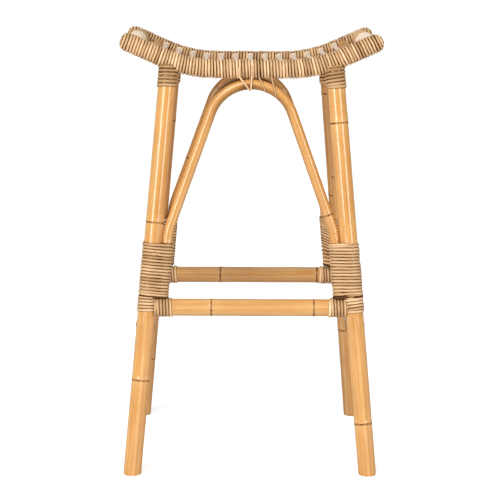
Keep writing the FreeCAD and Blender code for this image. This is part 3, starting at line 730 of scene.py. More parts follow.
@built_once("materials", "Deck Cane")
def deck_finish(name):
    """Peeled cream strands of the deck, with fine darker fibre lines and a dull face."""
    material, tree, shader = new_finish(name)
    k = colours()
    place = skin_place(tree, 0.0042)
    fibre = fibre_over(tree, place, 620.0, 0.05)
    wear = wear_over(tree, 40.0)
    base = mixed(tree, scaled(tree, fibre.outputs["Lines"], 0.40), k.deck, k.deck_deep)
    base = mixed(tree, scaled(tree, wear.outputs["Patches"], 0.18), base, k.cane)
    base = mixed(tree, scaled(tree, fibre.outputs["Flecks"], 0.22), base, k.cane_deep_and_shade)
    link(tree, base, shader.inputs["Base Color"])
    link(tree, ranged(tree, fibre.outputs["Lines"], 0.0, 1.0, 0.5, 0.68), shader.inputs["Roughness"])
    shader.inputs["Specular IOR Level"].default_value = 0.2
    bumped(tree, shader, fibre.outputs["Lines"], 0.45, 0.0003)
    return material


@built_once("materials", "Rail Core")
def core_finish(name):
    """Unfinished pole under the wraps, painted dark as the shade in the gaps between turns."""
    material, tree, shader = new_finish(name)
    k = colours()
    place = tree.nodes.new("ShaderNodeTexCoord").outputs["Object"]
    fibre = fibre_over(tree, place, 420.0, 0.7)
    wear = wear_over(tree, 26.0)
    base = mixed(tree, scaled(tree, fibre.outputs["Lines"], 0.5), k.core, k.cane_deep_and_shade)
    base = mixed(tree, scaled(tree, wear.outputs["Patches"], 0.4), base, k.pole_deep)
    link(tree, base, shader.inputs["Base Color"])
    link(tree, ranged(tree, fibre.outputs["Lines"], 0.0, 1.0, 0.55, 0.8), shader.inputs["Roughness"])
    bumped(tree, shader, fibre.outputs["Lines"], 0.3, 0.0004)
    return material


@built_once("materials", "Screw Steel")
def steel_finish(name):
    """Plated screw steel with a brushed face and a little tarnish."""
    material, tree, shader = new_finish(name)
    k = colours()
    wear = wear_over(tree, 320.0)
    base = mixed(tree, scaled(tree, wear.outputs["Patches"], 0.5), k.steel, k.core)
    link(tree, base, shader.inputs["Base Color"])
    link(tree, ranged(tree, wear.outputs["Dust"], 0.0, 1.0, 0.28, 0.5), shader.inputs["Roughness"])
    shader.inputs["Metallic"].default_value = 1.0
    bumped(tree, shader, wear.outputs["Dust"], 0.2, 0.0001)
    return material


# ---------------------------------------------------------------- poles
def soft_ends(run, reach=0.0012):
    """Girth along a pole that rounds its two cut ends a little."""
    gap = np.minimum(run, run[-1] - run)
    return 1 - 0.10 * np.clip(1 - gap / reach, 0, 1) ** 2


def growth_gap(run, joints):
    """Signed distance along a pole to its nearest growth joint."""
    if not len(joints):
        return np.full(len(run), 1.0)
    gaps = run[:, None] - np.asarray(joints)[None]
    return gaps[np.arange(len(run)), np.abs(gaps).argmin(1)]


def with_detail(points, joints):
    """Adds points close to the ends and the growth joints, where a pole's shape changes."""
    run = run_along(points)
    extra = [0.0005, 0.0012, run[-1] - 0.0012, run[-1] - 0.0005]
    steps = (0.0008, 0.0015, 0.0025, 0.004, 0.006)
    for joint in joints:
        extra += [joint, *(joint - step for step in steps), *(joint + step for step in steps)]
    wanted = np.unique(np.r_[run, [value for value in extra if 0 < value < run[-1]]])
    wanted = wanted[np.r_[True, np.diff(wanted) > 0.0002]]
    return np.stack([np.interp(wanted, run, points[:, axis]) for axis in range(3)], 1), wanted


def pole_line(points, outward, joints, tone=0.8, swell=0.035, round_ends=True):
    """A pole's line, swollen a little at each growth joint and pinched in a fine groove there."""
    points, run = with_detail(points, joints)
    gap = growth_gap(run, joints)
    girth = 1 + swell * np.exp(-((gap - 0.0018) / 0.0035) ** 2) - 0.02 * np.exp(-(gap / 0.0009) ** 2)
    if round_ends:
        girth = girth * soft_ends(run)
    return Line(points, outward, girth, tone, gap)


def grow_pole(name, line, diameter, seed, replaces, slot="rattan_pole", sides=28, unevenness=0.0007):
    piece = grow(
        name, [line], pole_tree(), slot,
        Radius=diameter / 2, Sides=sides, Unevenness=unevenness, Seed=seed, Material=pole_finish(),
    )
    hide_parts(*replaces)
    return piece


def cut_level(piece, axis):
    """Slides what lies under the floor back up along the pole, which leaves a level foot."""
    for vertex in piece.data.vertices:
        if vertex.co.z < 0:
            vertex.co += Vector(axis) * (-vertex.co.z / axis[2])


class STOOL_OT_grow_legs(bpy.types.Operator):
    """Grow the four legs, with growth joints and level feet."""

    bl_idname = "stool.grow_legs"
    bl_label = "Grow Legs"

    def execute(self, context):
        s = sizes()
        joints = {
            ("front", "left"): (0.164, 0.437),
            ("front", "right"): (0.089, 0.352, 0.609),
            ("back", "left"): (0.118, 0.395, 0.588),
            ("back", "right"): (0.178, 0.446, 0.640),
        }
        # the back legs are given lower tones as painted shade
        back_shades = {"left": 0.60, "right": 0.42}
        for seed, (end, side) in enumerate(CORNERS, start=11):
            foot, top, up = foot_point(end, side), top_point(end, side), leg_up(end, side)
            under = 0.006
            points = along_line(foot - up * under, top - up * 0.008, 0.003)
            out = unit(np.cross(up, DEEP))
            rises = [height / up[2] + under for height in joints[end, side]]
            line = pole_line(points, out, rises, tone=0.82 if end == "front" else back_shades[side])
            run = run_along(line.points)
            line.girth *= 1 - 0.05 * np.clip(1 - (run - under) / 0.002, 0, 1) ** 2
            piece = grow_pole(
                f"{end}_{side}_leg_pole", line, s.leg_diameter, seed, [f"{end}_{side}_leg"], sides=36
            )
            cut_level(piece, up)
        return {"FINISHED"}


class STOOL_OT_bend_arches(bpy.types.Operator):
    """Bend the front, back and side arches."""

    bl_idname = "stool.bend_arches"
    bl_label = "Bend Arches"

    def execute(self, context):
        s, c = sizes(), canes()
        outer = s.rail_diameter / 2 + c.rail_wrap
        crown = s.seat_height - outer - s.arch_diameter / 2 - SITTING_GAP
        bundle_top = s.bar_height + c.bundle_gap + c.bundle_length
        joints = {"front": (0.09, 0.70), "back": (0.21, 0.61), "left": (0.12, 0.52), "right": (0.17, 0.66)}
        for seed, end in enumerate(ENDS, start=31):
            foot, top = foot_point(end, "right"), top_point(end, "right")
            points, out = arch_line(
                foot, top, ACROSS, s.crown_radius, crown, bundle_top + s.front_joint_rise
            )
            # the back arch is given a lower tone as painted shade
            line = pole_line(points, out, joints[end], tone=0.72 if end == "front" else 0.45)
            # painted shade: the seat's shadow darkens the upper side of each crown, more under the front
            # ties, and the back arch's whole crown is darker
            near_crown = np.clip((line.points[:, 2] - crown + 0.085) / 0.05, 0, 1)
            tie = np.exp(-((line.points[:, 0] + 0.008) / 0.016) ** 2)
            line.stain = near_crown * (0.55 + 0.4 * tie if end == "front" else 0.75)
            line.tone -= near_crown * (0.0 if end == "front" else 0.25)
            grow_pole(f"{end}_arch_pole", line, s.arch_diameter, seed, [f"{end}_arch"], sides=24)
        for seed, side in enumerate(SIDES, start=35):
            foot, top = foot_point("back", side), top_point("back", side)
            bearer, _, _ = saddle(SIDES[side] * (s.rail_half_run - s.leg_top_inset), bearer_lift())
            crown = bearer[2] - s.cross_diameter / 2 - s.arch_diameter / 2 - SITTING_GAP
            points, out = arch_line(
                foot, top, DEEP, s.side_crown_radius, crown, bundle_top + s.side_joint_rise
            )
            line = pole_line(points, out, joints[side], tone=0.62)
            grow_pole(f"{side}_arch_pole", line, s.arch_diameter, seed, [f"{side}_arch"], sides=24)
        return {"FINISHED"}


def long_cane_lift():
    """How far the lengthwise canes stand over the rails' axes, under the deck's strands."""
    s = sizes()
    return s.strand_lift - s.strand_diameter / 2 - s.cane_diameter / 2 - DECK_GAP


def bearer_lift():
    s = sizes()
    return long_cane_lift() - (s.cane_diameter + s.cross_diameter) / 2 - DECK_GAP


class STOOL_OT_fit_foot_bars(bpy.types.Operator):
    """Fit the four foot bars between the legs."""

    bl_idname = "stool.fit_foot_bars"
    bl_label = "Fit Foot Bars"

    def execute(self, context):
        s = sizes()
        low, back = s.bar_height - s.side_bar_drop, s.bar_height - s.back_bar_drop
        # each bar: its two legs, height, growth joints and tone; the back bar's low tone is painted shade
        bars = {
            "front": (("front", "left"), ("front", "right"), s.bar_height, (0.100, 0.278), 0.74),
            "back": (("back", "left"), ("back", "right"), back, (0.115, 0.300), 0.34),
            "left": (("front", "left"), ("back", "left"), low, (0.09, 0.26), 0.60),
            "right": (("front", "right"), ("back", "right"), low, (0.14, 0.29), 0.60),
        }
        for seed, (name, (first, last, height, joints, tone)) in enumerate(bars.items(), start=51):
            start, end = leg_point(*first, height), leg_point(*last, height)
            way = unit(end - start)
            sink = s.leg_diameter / 2 - 0.004
            points = along_line(start + way * sink, end - way * sink, 0.003)
            line = pole_line(points, UP, joints, tone=tone)
            grow_pole(f"{name}_foot_bar_pole", line, s.bar_diameter, seed, [f"{name}_foot_bar"], sides=30)
        return {"FINISHED"}


class STOOL_OT_set_seat_poles(bpy.types.Operator):
    """Set the bare cross poles and bearers, and finish the poles that the wraps hide."""

    bl_idname = "stool.set_seat_poles"
    bl_label = "Set Seat Poles"

    def execute(self, context):
        s = sizes()
        rail_reach = s.seat_half_depth - s.rail_diameter / 2 + 0.002
        for seed, (side, sign) in enumerate(SIDES.items(), start=71):
            points = crosswise(sign * (s.rail_half_run - s.cross_pole_inset), 0, rail_reach)
            line = pole_line(points, UP, (0.055,) if side == "left" else (0.148,), tone=0.78)
            grow_pole(
                f"{side}_cross_pole_bare", line, s.cross_diameter, seed, [f"{side}_cross_pole"],
                "seat_pole", 24,
            )
            run = sign * (s.rail_half_run - s.leg_top_inset)
            points = crosswise(run, bearer_lift(), s.seat_half_depth - s.leg_diameter / 2 + 0.003)
            line = pole_line(points, UP, (0.12,) if side == "left" else (0.07,), tone=0.45)
            grow_pole(
                f"{side}_bearer_pole", line, s.cross_diameter, seed + 5, [f"{side}_bearer"],
                "seat_pole", 24,
            )
        for name in ("front_seat_rail", "back_seat_rail", "left_end_rail", "right_end_rail"):
            paint_node(name, core_finish())
        paint_node("frame_screws", steel_finish())
        return {"FINISHED"}


def paint_node(name, material):
    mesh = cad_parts[name].data
    if not mesh.materials:
        mesh.materials.append(material)
    for index in range(len(mesh.materials)):
        mesh.materials[index] = material


# ---------------------------------------------------------------- the deck
class STOOL_OT_lay_deck(bpy.types.Operator):
    """Lay the cross strands over the lengthwise canes, into the wraps of the rails."""

    bl_idname = "stool.lay_deck"
    bl_label = "Lay Deck"

    def execute(self, context):
        s = sizes()
        nodes = sorted(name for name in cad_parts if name.startswith("cross_strand_"))
        spread = np.linspace(-1, 1, len(nodes)) * (s.rail_half_run - s.last_strand_inset)
        rng = np.random.default_rng(7)
        for seed, (node, run) in enumerate(zip(nodes, spread), start=101):
            piece = grow(
                node.replace("cross_strand", "deck_strand"), strand_path(run, rng), pole_tree(), "deck_cane",
                Radius=s.strand_diameter / 2, Sides=16, Unevenness=0.0007, Seed=seed, Material=deck_finish(),
            )
            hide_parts(node)
        lift = long_cane_lift()
        reach = s.rail_half_run - s.cross_pole_inset
        for seed, (end, sign) in enumerate(ENDS.items(), start=131):
            runs = np.linspace(-reach, reach, 130)
            frames = [saddle(run, lift) for run in runs]
            points = np.array([place for place, _, _ in frames]) + DEEP * sign * s.cane_spacing / 2
            outs = np.array([normal for _, _, normal in frames])
            piece = grow(
                f"{end}_long_cane", [Line(points, outs, soft_ends(run_along(points)), 0.4)],
                pole_tree(), "deck_cane",
                Radius=s.cane_diameter / 2, Sides=16, Unevenness=0.0006, Seed=seed, Material=deck_finish(),
            )
            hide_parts(f"{end}_lengthwise_cane")
        return {"FINISHED"}


def strand_path(run, rng):
    """A deck strand between the rails, with a turn of cane round each end where it enters the wrap."""
    s, c = sizes(), canes()
    base, _, normal = saddle(run)
    outer = s.rail_diameter / 2 + c.rail_wrap
    level = base + normal * s.strand_lift
    half = s.seat_half_depth - math.sqrt(outer**2 - s.strand_lift**2) + 0.002
    span = np.linspace(-half, half, 90)
    sag = 0.0010 * (1 - (span / half) ** 2)
    points = level + DEEP * span[:, None] - normal * sag[:, None]
    girth = (1 + rng.normal(0, 0.015)) * (1 + 0.02 * np.sin(span * 90 + rng.uniform(0, 6)))
    tone = rng.uniform(0.3, 0.9)
    lines = [Line(points, normal, girth, tone)]
    tangent = np.cross(DEEP, normal)
    for sign in (-1, 1):
        bearing = np.linspace(0, 2 * math.pi, 25)
        out = np.cos(bearing)[:, None] * normal + np.sin(bearing)[:, None] * tangent
        centre = level + DEEP * sign * (half - 0.0032)
        lines.append(Line(centre + out * (s.strand_diameter / 2 + 0.0003), out, 0.30, tone))
    return lines


# ---------------------------------------------------------------- wound cane
def turn_tones(turn, rng, spread=0.16, level=0.5):
    """A tone for each turn of a winding, blended from one turn to the next."""
    count = int(turn.max()) + 3
    tones = np.clip(rng.normal(level, spread, count), 0, 1)
    return np.interp(turn, np.arange(count), tones)


def turn_girths(turn, rng, spread=0.07):
    """A girth for each turn of a winding, blended from one turn to the next."""
    count = int(turn.max()) + 3
    return np.interp(turn, np.arange(count), np.clip(rng.normal(1, spread, count), 0.8, 1.12))


def tapered(count, ends=6):
    index = np.arange(count)
    gap = np.minimum(index, count - 1 - index)
    return np.clip(0.35 + 0.65 * gap / ends, 0, 1)


def wind_straight(start, way, side, reach, radius, pitch, seed, phase=0.0, level=0.5, points=30):
    """One strand wound round a straight pole, from start along way."""
    rng = np.random.default_rng(seed)
    deep = np.cross(way, side)
    turns = reach / pitch
    turn = np.linspace(0, turns, int(turns * points) + 2)
    bearing = 2 * math.pi * turn + phase
    out = np.cos(bearing)[:, None] * side + np.sin(bearing)[:, None] * deep
    # the first and last turns close up against the one beside them
    rise = np.clip(turn, 0.45, turns - 0.45) * pitch
    place = start + way * rise[:, None] + out * radius
    girth = tapered(len(turn)) * turn_girths(turn, rng)
    return Line(place, out, girth, turn_tones(turn, rng, level=level))


def hull_outline(circles, count):
    """Even points and ways out along a string pulled tight round circles (x, y, radius)."""
    places, outs = [], []
    for index, (x, y, radius) in enumerate(circles):
        next_x, next_y, next_radius = circles[(index + 1) % len(circles)]
        last_x, last_y, last_radius = circles[index - 1]
        begin = tangent_bearing((last_x, last_y, last_radius), (x, y, radius))
        finish = tangent_bearing((x, y, radius), (next_x, next_y, next_radius))
        sweep = (finish - begin) % (2 * math.pi)
        for bearing in begin + np.linspace(0, sweep, max(int(sweep / 0.08), 2)):
            outs.append((math.cos(bearing), math.sin(bearing)))
            places.append((x + radius * math.cos(bearing), y + radius * math.sin(bearing)))
    places, outs = np.array(places + places[:1]), np.array(outs + outs[:1])
    run = np.r_[0, np.cumsum(np.linalg.norm(np.diff(places, axis=0), axis=1))]
    even = np.linspace(0, run[-1], count, endpoint=False)
    place = np.stack([np.interp(even, run, places[:, axis]) for axis in range(2)], 1)
    out = np.stack([np.interp(even, run, outs[:, axis]) for axis in range(2)], 1)
    return place, out / np.linalg.norm(out, axis=1)[:, None]


def tangent_bearing(first, second):
    along = np.array((second[0] - first[0], second[1] - first[1]))
    lean = (first[2] - second[2]) / np.linalg.norm(along)
    along = unit(along)
    outside = np.array((along[1], -along[0]))
    normal = along * lean + outside * math.sqrt(1 - lean * lean)
    return math.atan2(normal[1], normal[0])


def wind_hull(origin, way, side, circles, reach, pitch, seed, slope=0.0, level=0.5, points=56):
    """One strand wound round a bundle of parallel poles; slope tips its turns down to one side."""
    rng = np.random.default_rng(seed)
    deep = np.cross(way, side)
    place, out = hull_outline(circles, points)
    turns = reach / pitch
    count = int(turns * points) + 1
    index = np.arange(count)
    turn = index / points
    flat, flat_out = place[index % points], out[index % points]
    # the tipped turns ease level towards both ends of the binding
    ease = np.clip(np.minimum(turn, turns - turn) / (1 + 10 * abs(slope)), 0, 1)
    rise = np.clip(turn, 0.45, turns - 0.45) * pitch + ease * slope * (flat[:, 0] - place[:, 0].mean())
    rise = np.clip(rise, 0.4 * pitch, reach - 0.4 * pitch)
    ways_out = flat_out[:, :1] * side + flat_out[:, 1:] * deep
    spots = origin + way * rise[:, None] + flat[:, :1] * side + flat[:, 1:] * deep
    return Line(spots, ways_out, tapered(count) * turn_girths(turn, rng), turn_tones(turn, rng, level=level))


def wind_piece(name, lines, replaces, pitch, height, seed, looseness=None, fill=0.97, points=10):
    piece = grow(
        name, lines, cane_tree(), "wound_cane",
        Strand_Width=pitch * fill, Strand_Height=height, Flat_Side=0.35, Section_Points=points,
        Looseness=canes().looseness if looseness is None else looseness, Seed=seed, Material=cane_finish(),
    )
    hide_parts(*replaces)
    return piece


def rail_winding(end, pitch, base, seed):
    """The strand that covers a seat rail from tip to tip, over both rounded ends."""
    s, c = sizes(), canes()
    rng = np.random.default_rng(seed)
    sign = ENDS[end]
    per_turn = 32
    cap = math.radians(76)
    reach = s.rail_half_run + base * cap
    turns = 2 * reach / pitch
    # a turn passes over the top of the rail at each deck strand
    turn = np.arange(-turns / 2, turns / 2, 1 / per_turn)
    runs = turn * pitch
    bearings = 2 * math.pi * turn * sign
    places, outs, girths, tones = [], [], [], []
    whole = np.round(turn).astype(int)
    noise = np.clip(rng.normal(0.50, 0.17, int(turns) + 8), 0, 1)
    widths = np.clip(rng.normal(1, 0.07, int(turns) + 8), 0.82, 1.12)
    last_strand = s.rail_half_run - s.last_strand_inset
    for run, bearing, number in zip(runs, bearings, whole):
        held = np.clip(run, -s.rail_half_run, s.rail_half_run)
        past = (run - held) / base
        centre, tangent, normal = saddle(held)
        centre = centre + DEEP * sign * s.seat_half_depth
        around = normal * math.cos(bearing) + DEEP * math.sin(bearing)
        out = around * math.cos(past) + tangent * math.sin(past)
        places.append(centre + out * base)
        outs.append(out)
        strand_turn = number % c.turns_per_strand == 0 and abs(run) < last_strand + pitch
        tone = noise[number % len(noise)] + (0.42 if strand_turn else 0)
        # a notch opens over each strand on the side that faces the deck, and its turn is painted dark as
        # shade
        inner = math.degrees(math.atan2(-sign * math.sin(bearing), math.cos(bearing)))
        notch = np.clip((inner - 12) / 30, 0, 1) * np.clip((125 - inner) / 15, 0, 1) * strand_turn
        tones.append(min(tone, 1) * (1 - notch))
        girths.append((1 - 0.88 * notch) * widths[number % len(widths)])
    girths = np.convolve(np.r_[girths[:2], girths, girths[-2:]], np.full(5, 0.2), "valid")
    taper = tapered(len(girths), 40)
    return Line(np.array(places), np.array(outs), girths * (0.5 + 0.5 * taper), np.array(tones))


class STOOL_OT_wind_seat(bpy.types.Operator):
    """Wind the seat rails and end rails."""

    bl_idname = "stool.wind_seat"
    bl_label = "Wind Seat"

    def execute(self, context):
        s, c = sizes(), canes()
        strands = sum(name.startswith("cross_strand_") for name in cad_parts)
        strand_pitch = 2 * (s.rail_half_run - s.last_strand_inset) / (strands - 1)
        pitch = strand_pitch / c.turns_per_strand
        base = s.rail_diameter / 2 + 0.0008
        height = c.rail_wrap - 0.0008
        for seed, end in enumerate(ENDS, start=201):
            line = rail_winding(end, pitch, base, seed)
            wind_piece(f"{end}_rail_winding", [line], [f"{end}_rail_wrap"], pitch, height, seed)
        half = s.seat_half_depth - s.rail_diameter / 2 - c.rail_wrap + 0.003
        # the front turns of each end wrap are painted cream-white as a highlight, with some turns a little
        # darker
        highlight_reach = 0.115
        for seed, (side, sign) in enumerate(SIDES.items(), start=211):
            place, _, normal = saddle(sign * (s.rail_half_run - s.end_rail_inset))
            line = wind_straight(
                place - DEEP * half, DEEP, normal, 2 * half, base, c.end_pitch, seed, points=32
            )
            depth = line.points[:, 1] + half
            painted_highlight = np.clip((highlight_reach - depth) / 0.003, 0, 1)
            line.tone = line.tone * (1 - painted_highlight) + (1.5 - 0.25 * (np.sin(depth * 260) > 0.6)) * painted_highlight
            crowned = 0.0006 * np.sin(np.minimum(depth, highlight_reach) / highlight_reach * math.pi)
            line.points += line.outward * crowned[:, None]
            wind_piece(f"{side}_end_winding", [line], [f"{side}_end_wrap"], c.end_pitch, height, seed)
        return {"FINISHED"}


class STOOL_OT_bind_legs(bpy.types.Operator):
    """Bind the leg tops, the bundles of leg and limbs, and the bands under them."""

    bl_idname = "stool.bind_legs"
    bl_label = "Bind Legs"

    def execute(self, context):
        s, c = sizes(), canes()
        pitch, sit = c.binding_pitch, SITTING_GAP
        leg_radius = s.leg_diameter / 2 + sit
        beside = s.leg_diameter / 2 + s.arch_diameter / 2 + SITTING_GAP
        outer = s.rail_diameter / 2 + c.rail_wrap
        tops = {"front": c.front_top_binding, "back": c.back_top_binding}
        slopes = dict(zip(CORNERS, (-0.05, 0.11, -0.12, 0.38)))
        for seed, (end, side) in enumerate(CORNERS, start=301):
            up, top = leg_up(end, side), top_point(end, side)
            inboard = ACROSS * -SIDES[side]
            inboard = unit(inboard - up * (inboard @ up))
            start = leg_point(end, side, s.bar_height + c.bundle_gap)
            inward = DEEP * -ENDS[end]
            inward = unit(inward - up * (inward @ up)) * beside
            deep = np.cross(up, inboard)
            circles = [
                (0, 0, leg_radius),
                (beside, 0, s.arch_diameter / 2 + sit),
                (inward @ inboard, inward @ deep, s.arch_diameter / 2 + sit),
            ]
            if circles[2][1] < 0:
                circles = [circles[0], circles[2], circles[1]]
            slope = slopes[end, side]
            long = c.bundle_length / up[2]
            line = wind_hull(start, up, inboard, circles, long, pitch, seed, slope, level=0.44)
            # a turn painted dark as shade fills the gap between the bundle and the band
            under = wind_hull(start - up * 0.0035, up, inboard, circles, pitch, pitch, seed + 5, 0.0)
            under.tone = np.full(len(under.points), -0.4)
            corner = f"{end}_{side}"
            wind_piece(
                f"{corner}_bundle_winding", [line, under], [f"{corner}_bundle_binding"],
                pitch, c.binding, seed,
            )

            base = leg_point(end, side, s.bar_height - c.band_drop)
            reach = (c.bundle_gap + c.band_drop) / up[2]
            line = wind_straight(base, up, inboard, reach, leg_radius, pitch, seed + 10, level=0.5)
            wind_piece(
                f"{corner}_band_winding", [line], [f"{corner}_leg_band"], pitch, c.binding, seed + 10
            )

            height = top[2] - outer - tops[end]
            base = leg_point(end, side, height)
            reach = (tops[end] + outer - 0.008) / up[2]
            line = wind_straight(base, up, inboard, reach, leg_radius, c.top_pitch, seed + 20, level=0.27)
            # painted shade: the turns darken as they climb towards the rail above
            climb = np.clip((line.points[:, 2] - height) / tops[end], 0, 1)
            line.tone = np.clip(line.tone * (1.1 - 0.9 * climb), 0, 1)
            wind_piece(
                f"{end}_{side}_top_winding", [line], [f"{end}_{side}_top_binding"], c.top_pitch, c.binding,
                seed + 20, fill=0.99,
            )
        return {"FINISHED"}


class STOOL_OT_wrap_foot_bars(bpy.types.Operator):
    """Wrap both ends of each foot bar."""

    bl_idname = "stool.wrap_foot_bars"
    bl_label = "Wrap Foot Bars"

    def execute(self, context):
        s, c = sizes(), canes()
        low = s.bar_height - s.side_bar_drop
        ends = {
            "front": (("front", "left"), ("front", "right"), s.bar_height),
            "back": (("back", "left"), ("back", "right"), s.bar_height - s.back_bar_drop),
            "left": (("front", "left"), ("back", "left"), low),
            "right": (("front", "right"), ("back", "right"), low),
        }
        clear = s.leg_diameter / 2 + c.binding + SITTING_GAP
        for seed, (name, (first, last, height)) in enumerate(ends.items(), start=401):
            lines = []
            for near, far in ((first, last), (last, first)):
                start = leg_point(*near, height)
                way = unit(leg_point(*far, height) - start)
                flank = unit(np.cross(way, leg_up(*near)))
                side = unit(np.cross(flank, way))
                sunk = 0.006
                line = wind_straight(
                    start + way * (clear - sunk), way, side, c.bar_wrap + sunk,
                    s.bar_diameter / 2 + SITTING_GAP,
                    c.binding_pitch, seed + len(lines) * 5, level=0.32,
                )
                far_out = (line.points - start) @ way
                pale = np.clip((far_out - clear - c.bar_wrap + 0.0065) / 0.003, 0, 1)
                line.tone = np.clip(line.tone + 0.5 * pale, 0, 1)
                lines.append(line)
            wind_piece(
                f"{name}_bar_windings", lines, [f"{name}_bar_wraps"], c.binding_pitch, c.binding, seed
            )
        return {"FINISHED"}


class STOOL_OT_tie_crowns(bpy.types.Operator):
    """Tie the crowns of the arches to the seat."""

    bl_idname = "stool.tie_crowns"
    bl_label = "Tie Crowns"

    def execute(self, context):
        s, c = sizes(), canes()
        outer = s.rail_diameter / 2 + c.rail_wrap
        crown = s.seat_height - outer - s.arch_diameter / 2 - SITTING_GAP
        spans = ((-0.29, -0.05), (0.0, -0.02), (0.16, 0.33), (0.45, 0.57))
        for seed, (end, sign) in enumerate(ENDS.items(), start=501):
            slope = (s.foot_half_depth - s.seat_half_depth) / top_point(end, "right")[2]
            lines = []
            for high, low in spans:
                high, low = high * s.crown_radius, low * s.crown_radius
                faint = high > 0
                girth, tone = (0.8, 0.45) if faint else (1.0, 0.95)
                lines.append(crown_tie(high, low, crown, slope, outer, sign, girth, tone))
            # a strand painted dark as shade lies on the arch and fills the gap under the rail
            across = np.linspace(-0.040, 0.040, 30)
            fall = s.crown_radius - np.sqrt(s.crown_radius**2 - across**2)
            lift = np.minimum(fall + SITTING_GAP, 0.0024)
            shade_filler = np.zeros((len(across), 3))
            shade_filler[:, 0] = across
            shade_filler[:, 1] = sign * (s.foot_half_depth - slope * crown - 0.0015)
            shade_filler[:, 2] = crown - fall + s.arch_diameter / 2 + lift / 2
            girth = (lift + 0.0014) / c.tie_strand * tapered(len(across), 4)
            lines.append(Line(shade_filler, DEEP * sign, girth, -0.4))
            piece = grow(
                f"{end}_crown_tie_strands", lines, cane_tree(), "wound_cane",
                Strand_Width=c.tie_strand, Strand_Height=c.tie_strand * 0.62, Flat_Side=0.5,
                Section_Points=12, Looseness=0.0002, Seed=seed, Material=cane_finish(),
            )
            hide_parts(f"{end}_crown_ties")
        lines = []
        for side, sign in SIDES.items():
            lines.append(side_tie(side, sign, seed=521 + sign))
        wind_piece("side_crown_windings", lines, ["side_crown_ties"], c.side_tie / 4, 0.0022, 520)
        return {"FINISHED"}


def crown_tie(high, low, crown, slope, outer, sign, girth=1.0, tone=0.85):
    """A strand from the rail's outer face down over the face of the arch and round under it."""
    s = sizes()
    arch = s.arch_diameter / 2
    pole_z = crown - s.crown_radius + math.sqrt(s.crown_radius**2 - low**2)
    chain = []
    for lean in np.linspace(math.radians(-25), math.radians(42), 8):
        out = DEEP * sign * math.cos(lean) - UP * math.sin(lean)
        centre = np.array((0, sign * s.seat_half_depth, s.seat_height))
        chain.append((centre + out * (outer + SITTING_GAP), out))
    for lean in np.linspace(math.radians(-8), math.radians(118), 14):
        out = DEEP * sign * math.cos(lean) - UP * math.sin(lean)
        centre = np.array((0, sign * (s.foot_half_depth - slope * pole_z), pole_z))
        chain.append((centre + out * (arch + SITTING_GAP), out))
    place = np.array([item[0] for item in chain])
    outs = np.array([item[1] for item in chain])
    run = run_along(place)
    even = np.linspace(0, run[-1], 46)
    place = np.stack([np.interp(even, run, place[:, axis]) for axis in range(3)], 1)
    outs = np.stack([np.interp(even, run, outs[:, axis]) for axis in range(3)], 1)
    outs /= np.linalg.norm(outs, axis=1)[:, None]
    # the strand leans all the way from the rail's lower side to the arch's lower side
    top_z, low_z = s.seat_height - outer * 0.67, pole_z - arch
    drop = np.clip((top_z - place[:, 2]) / (top_z - low_z), 0, 1)
    place[:, 0] = high + (low - high) * drop
    return Line(place, outs, tapered(len(place), 5) * girth, tone)


def side_tie(side, sign, seed):
    """Four turns round a bearer and the crown of the side arch under it."""
    s, c = sizes(), canes()
    run = sign * (s.rail_half_run - s.leg_top_inset)
    bearer, _, _ = saddle(run, bearer_lift())
    crown = bearer[2] - s.cross_diameter / 2 - s.arch_diameter / 2 - SITTING_GAP
    top = top_point("front", side)
    crown_x = s.foot_half_width - (s.foot_half_width - abs(top[0])) / top[2] * crown
    grow_by = 0.0008
    circles = [
        (sign * crown_x, crown, s.arch_diameter / 2 + grow_by),
        (bearer[0], bearer[2], s.cross_diameter / 2 + grow_by),
    ]
    origin = DEEP * (c.side_tie / 2)
    return wind_hull(origin, -DEEP, ACROSS, circles, c.side_tie, c.side_tie / 4, seed, points=40)


# ---------------------------------------------------------------- the studio
def soft_light(name, place, target, width, height, power):
    data = bpy.data.lights.new(name, "AREA")
    data.shape = "RECTANGLE"
    data.size = width
    data.size_y = height
    data.energy = power
    lamp = bpy.data.objects.new(name, data)
    bpy.context.scene.collection.objects.link(lamp)
    aim = Vector(target) - Vector(place)
    lamp.matrix_world = Matrix.Translation(place) @ aim.to_track_quat("-Z", "Y").to_matrix().to_4x4()


def floor_finish():
    """Matt white studio floor with a faint mottle."""
    material, tree, shader = new_finish("Studio Floor")
    wear = wear_over(tree, 3.0)
    tint = tuple(value * 0.985 for value in colours().floor)
    link(tree, mixed(tree, wear.outputs["Patches"], colours().floor, tint), shader.inputs["Base Color"])
    shader.inputs["Roughness"].default_value = 0.9
    shader.inputs["Emission Color"].default_value = (1, 1, 1, 1)
    seen = tree.nodes.new("ShaderNodeLightPath").outputs["Is Camera Ray"]
    glow = scaled(tree, seen, bpy.context.scene.stool_stage.floor_glow)
    link(tree, glow, shader.inputs["Emission Strength"])
    # from below the floor is clear, so that the underside can be looked at
    clear = tree.nodes.new("ShaderNodeBsdfTransparent")
    below = tree.nodes.new("ShaderNodeNewGeometry").outputs["Backfacing"]
    both = add(tree, "ShaderNodeMixShader", _0=below, _1=shader.outputs[0], _2=clear.outputs[0])
    link(tree, both.outputs[0], tree.nodes["Material Output"].inputs["Surface"])
    return material


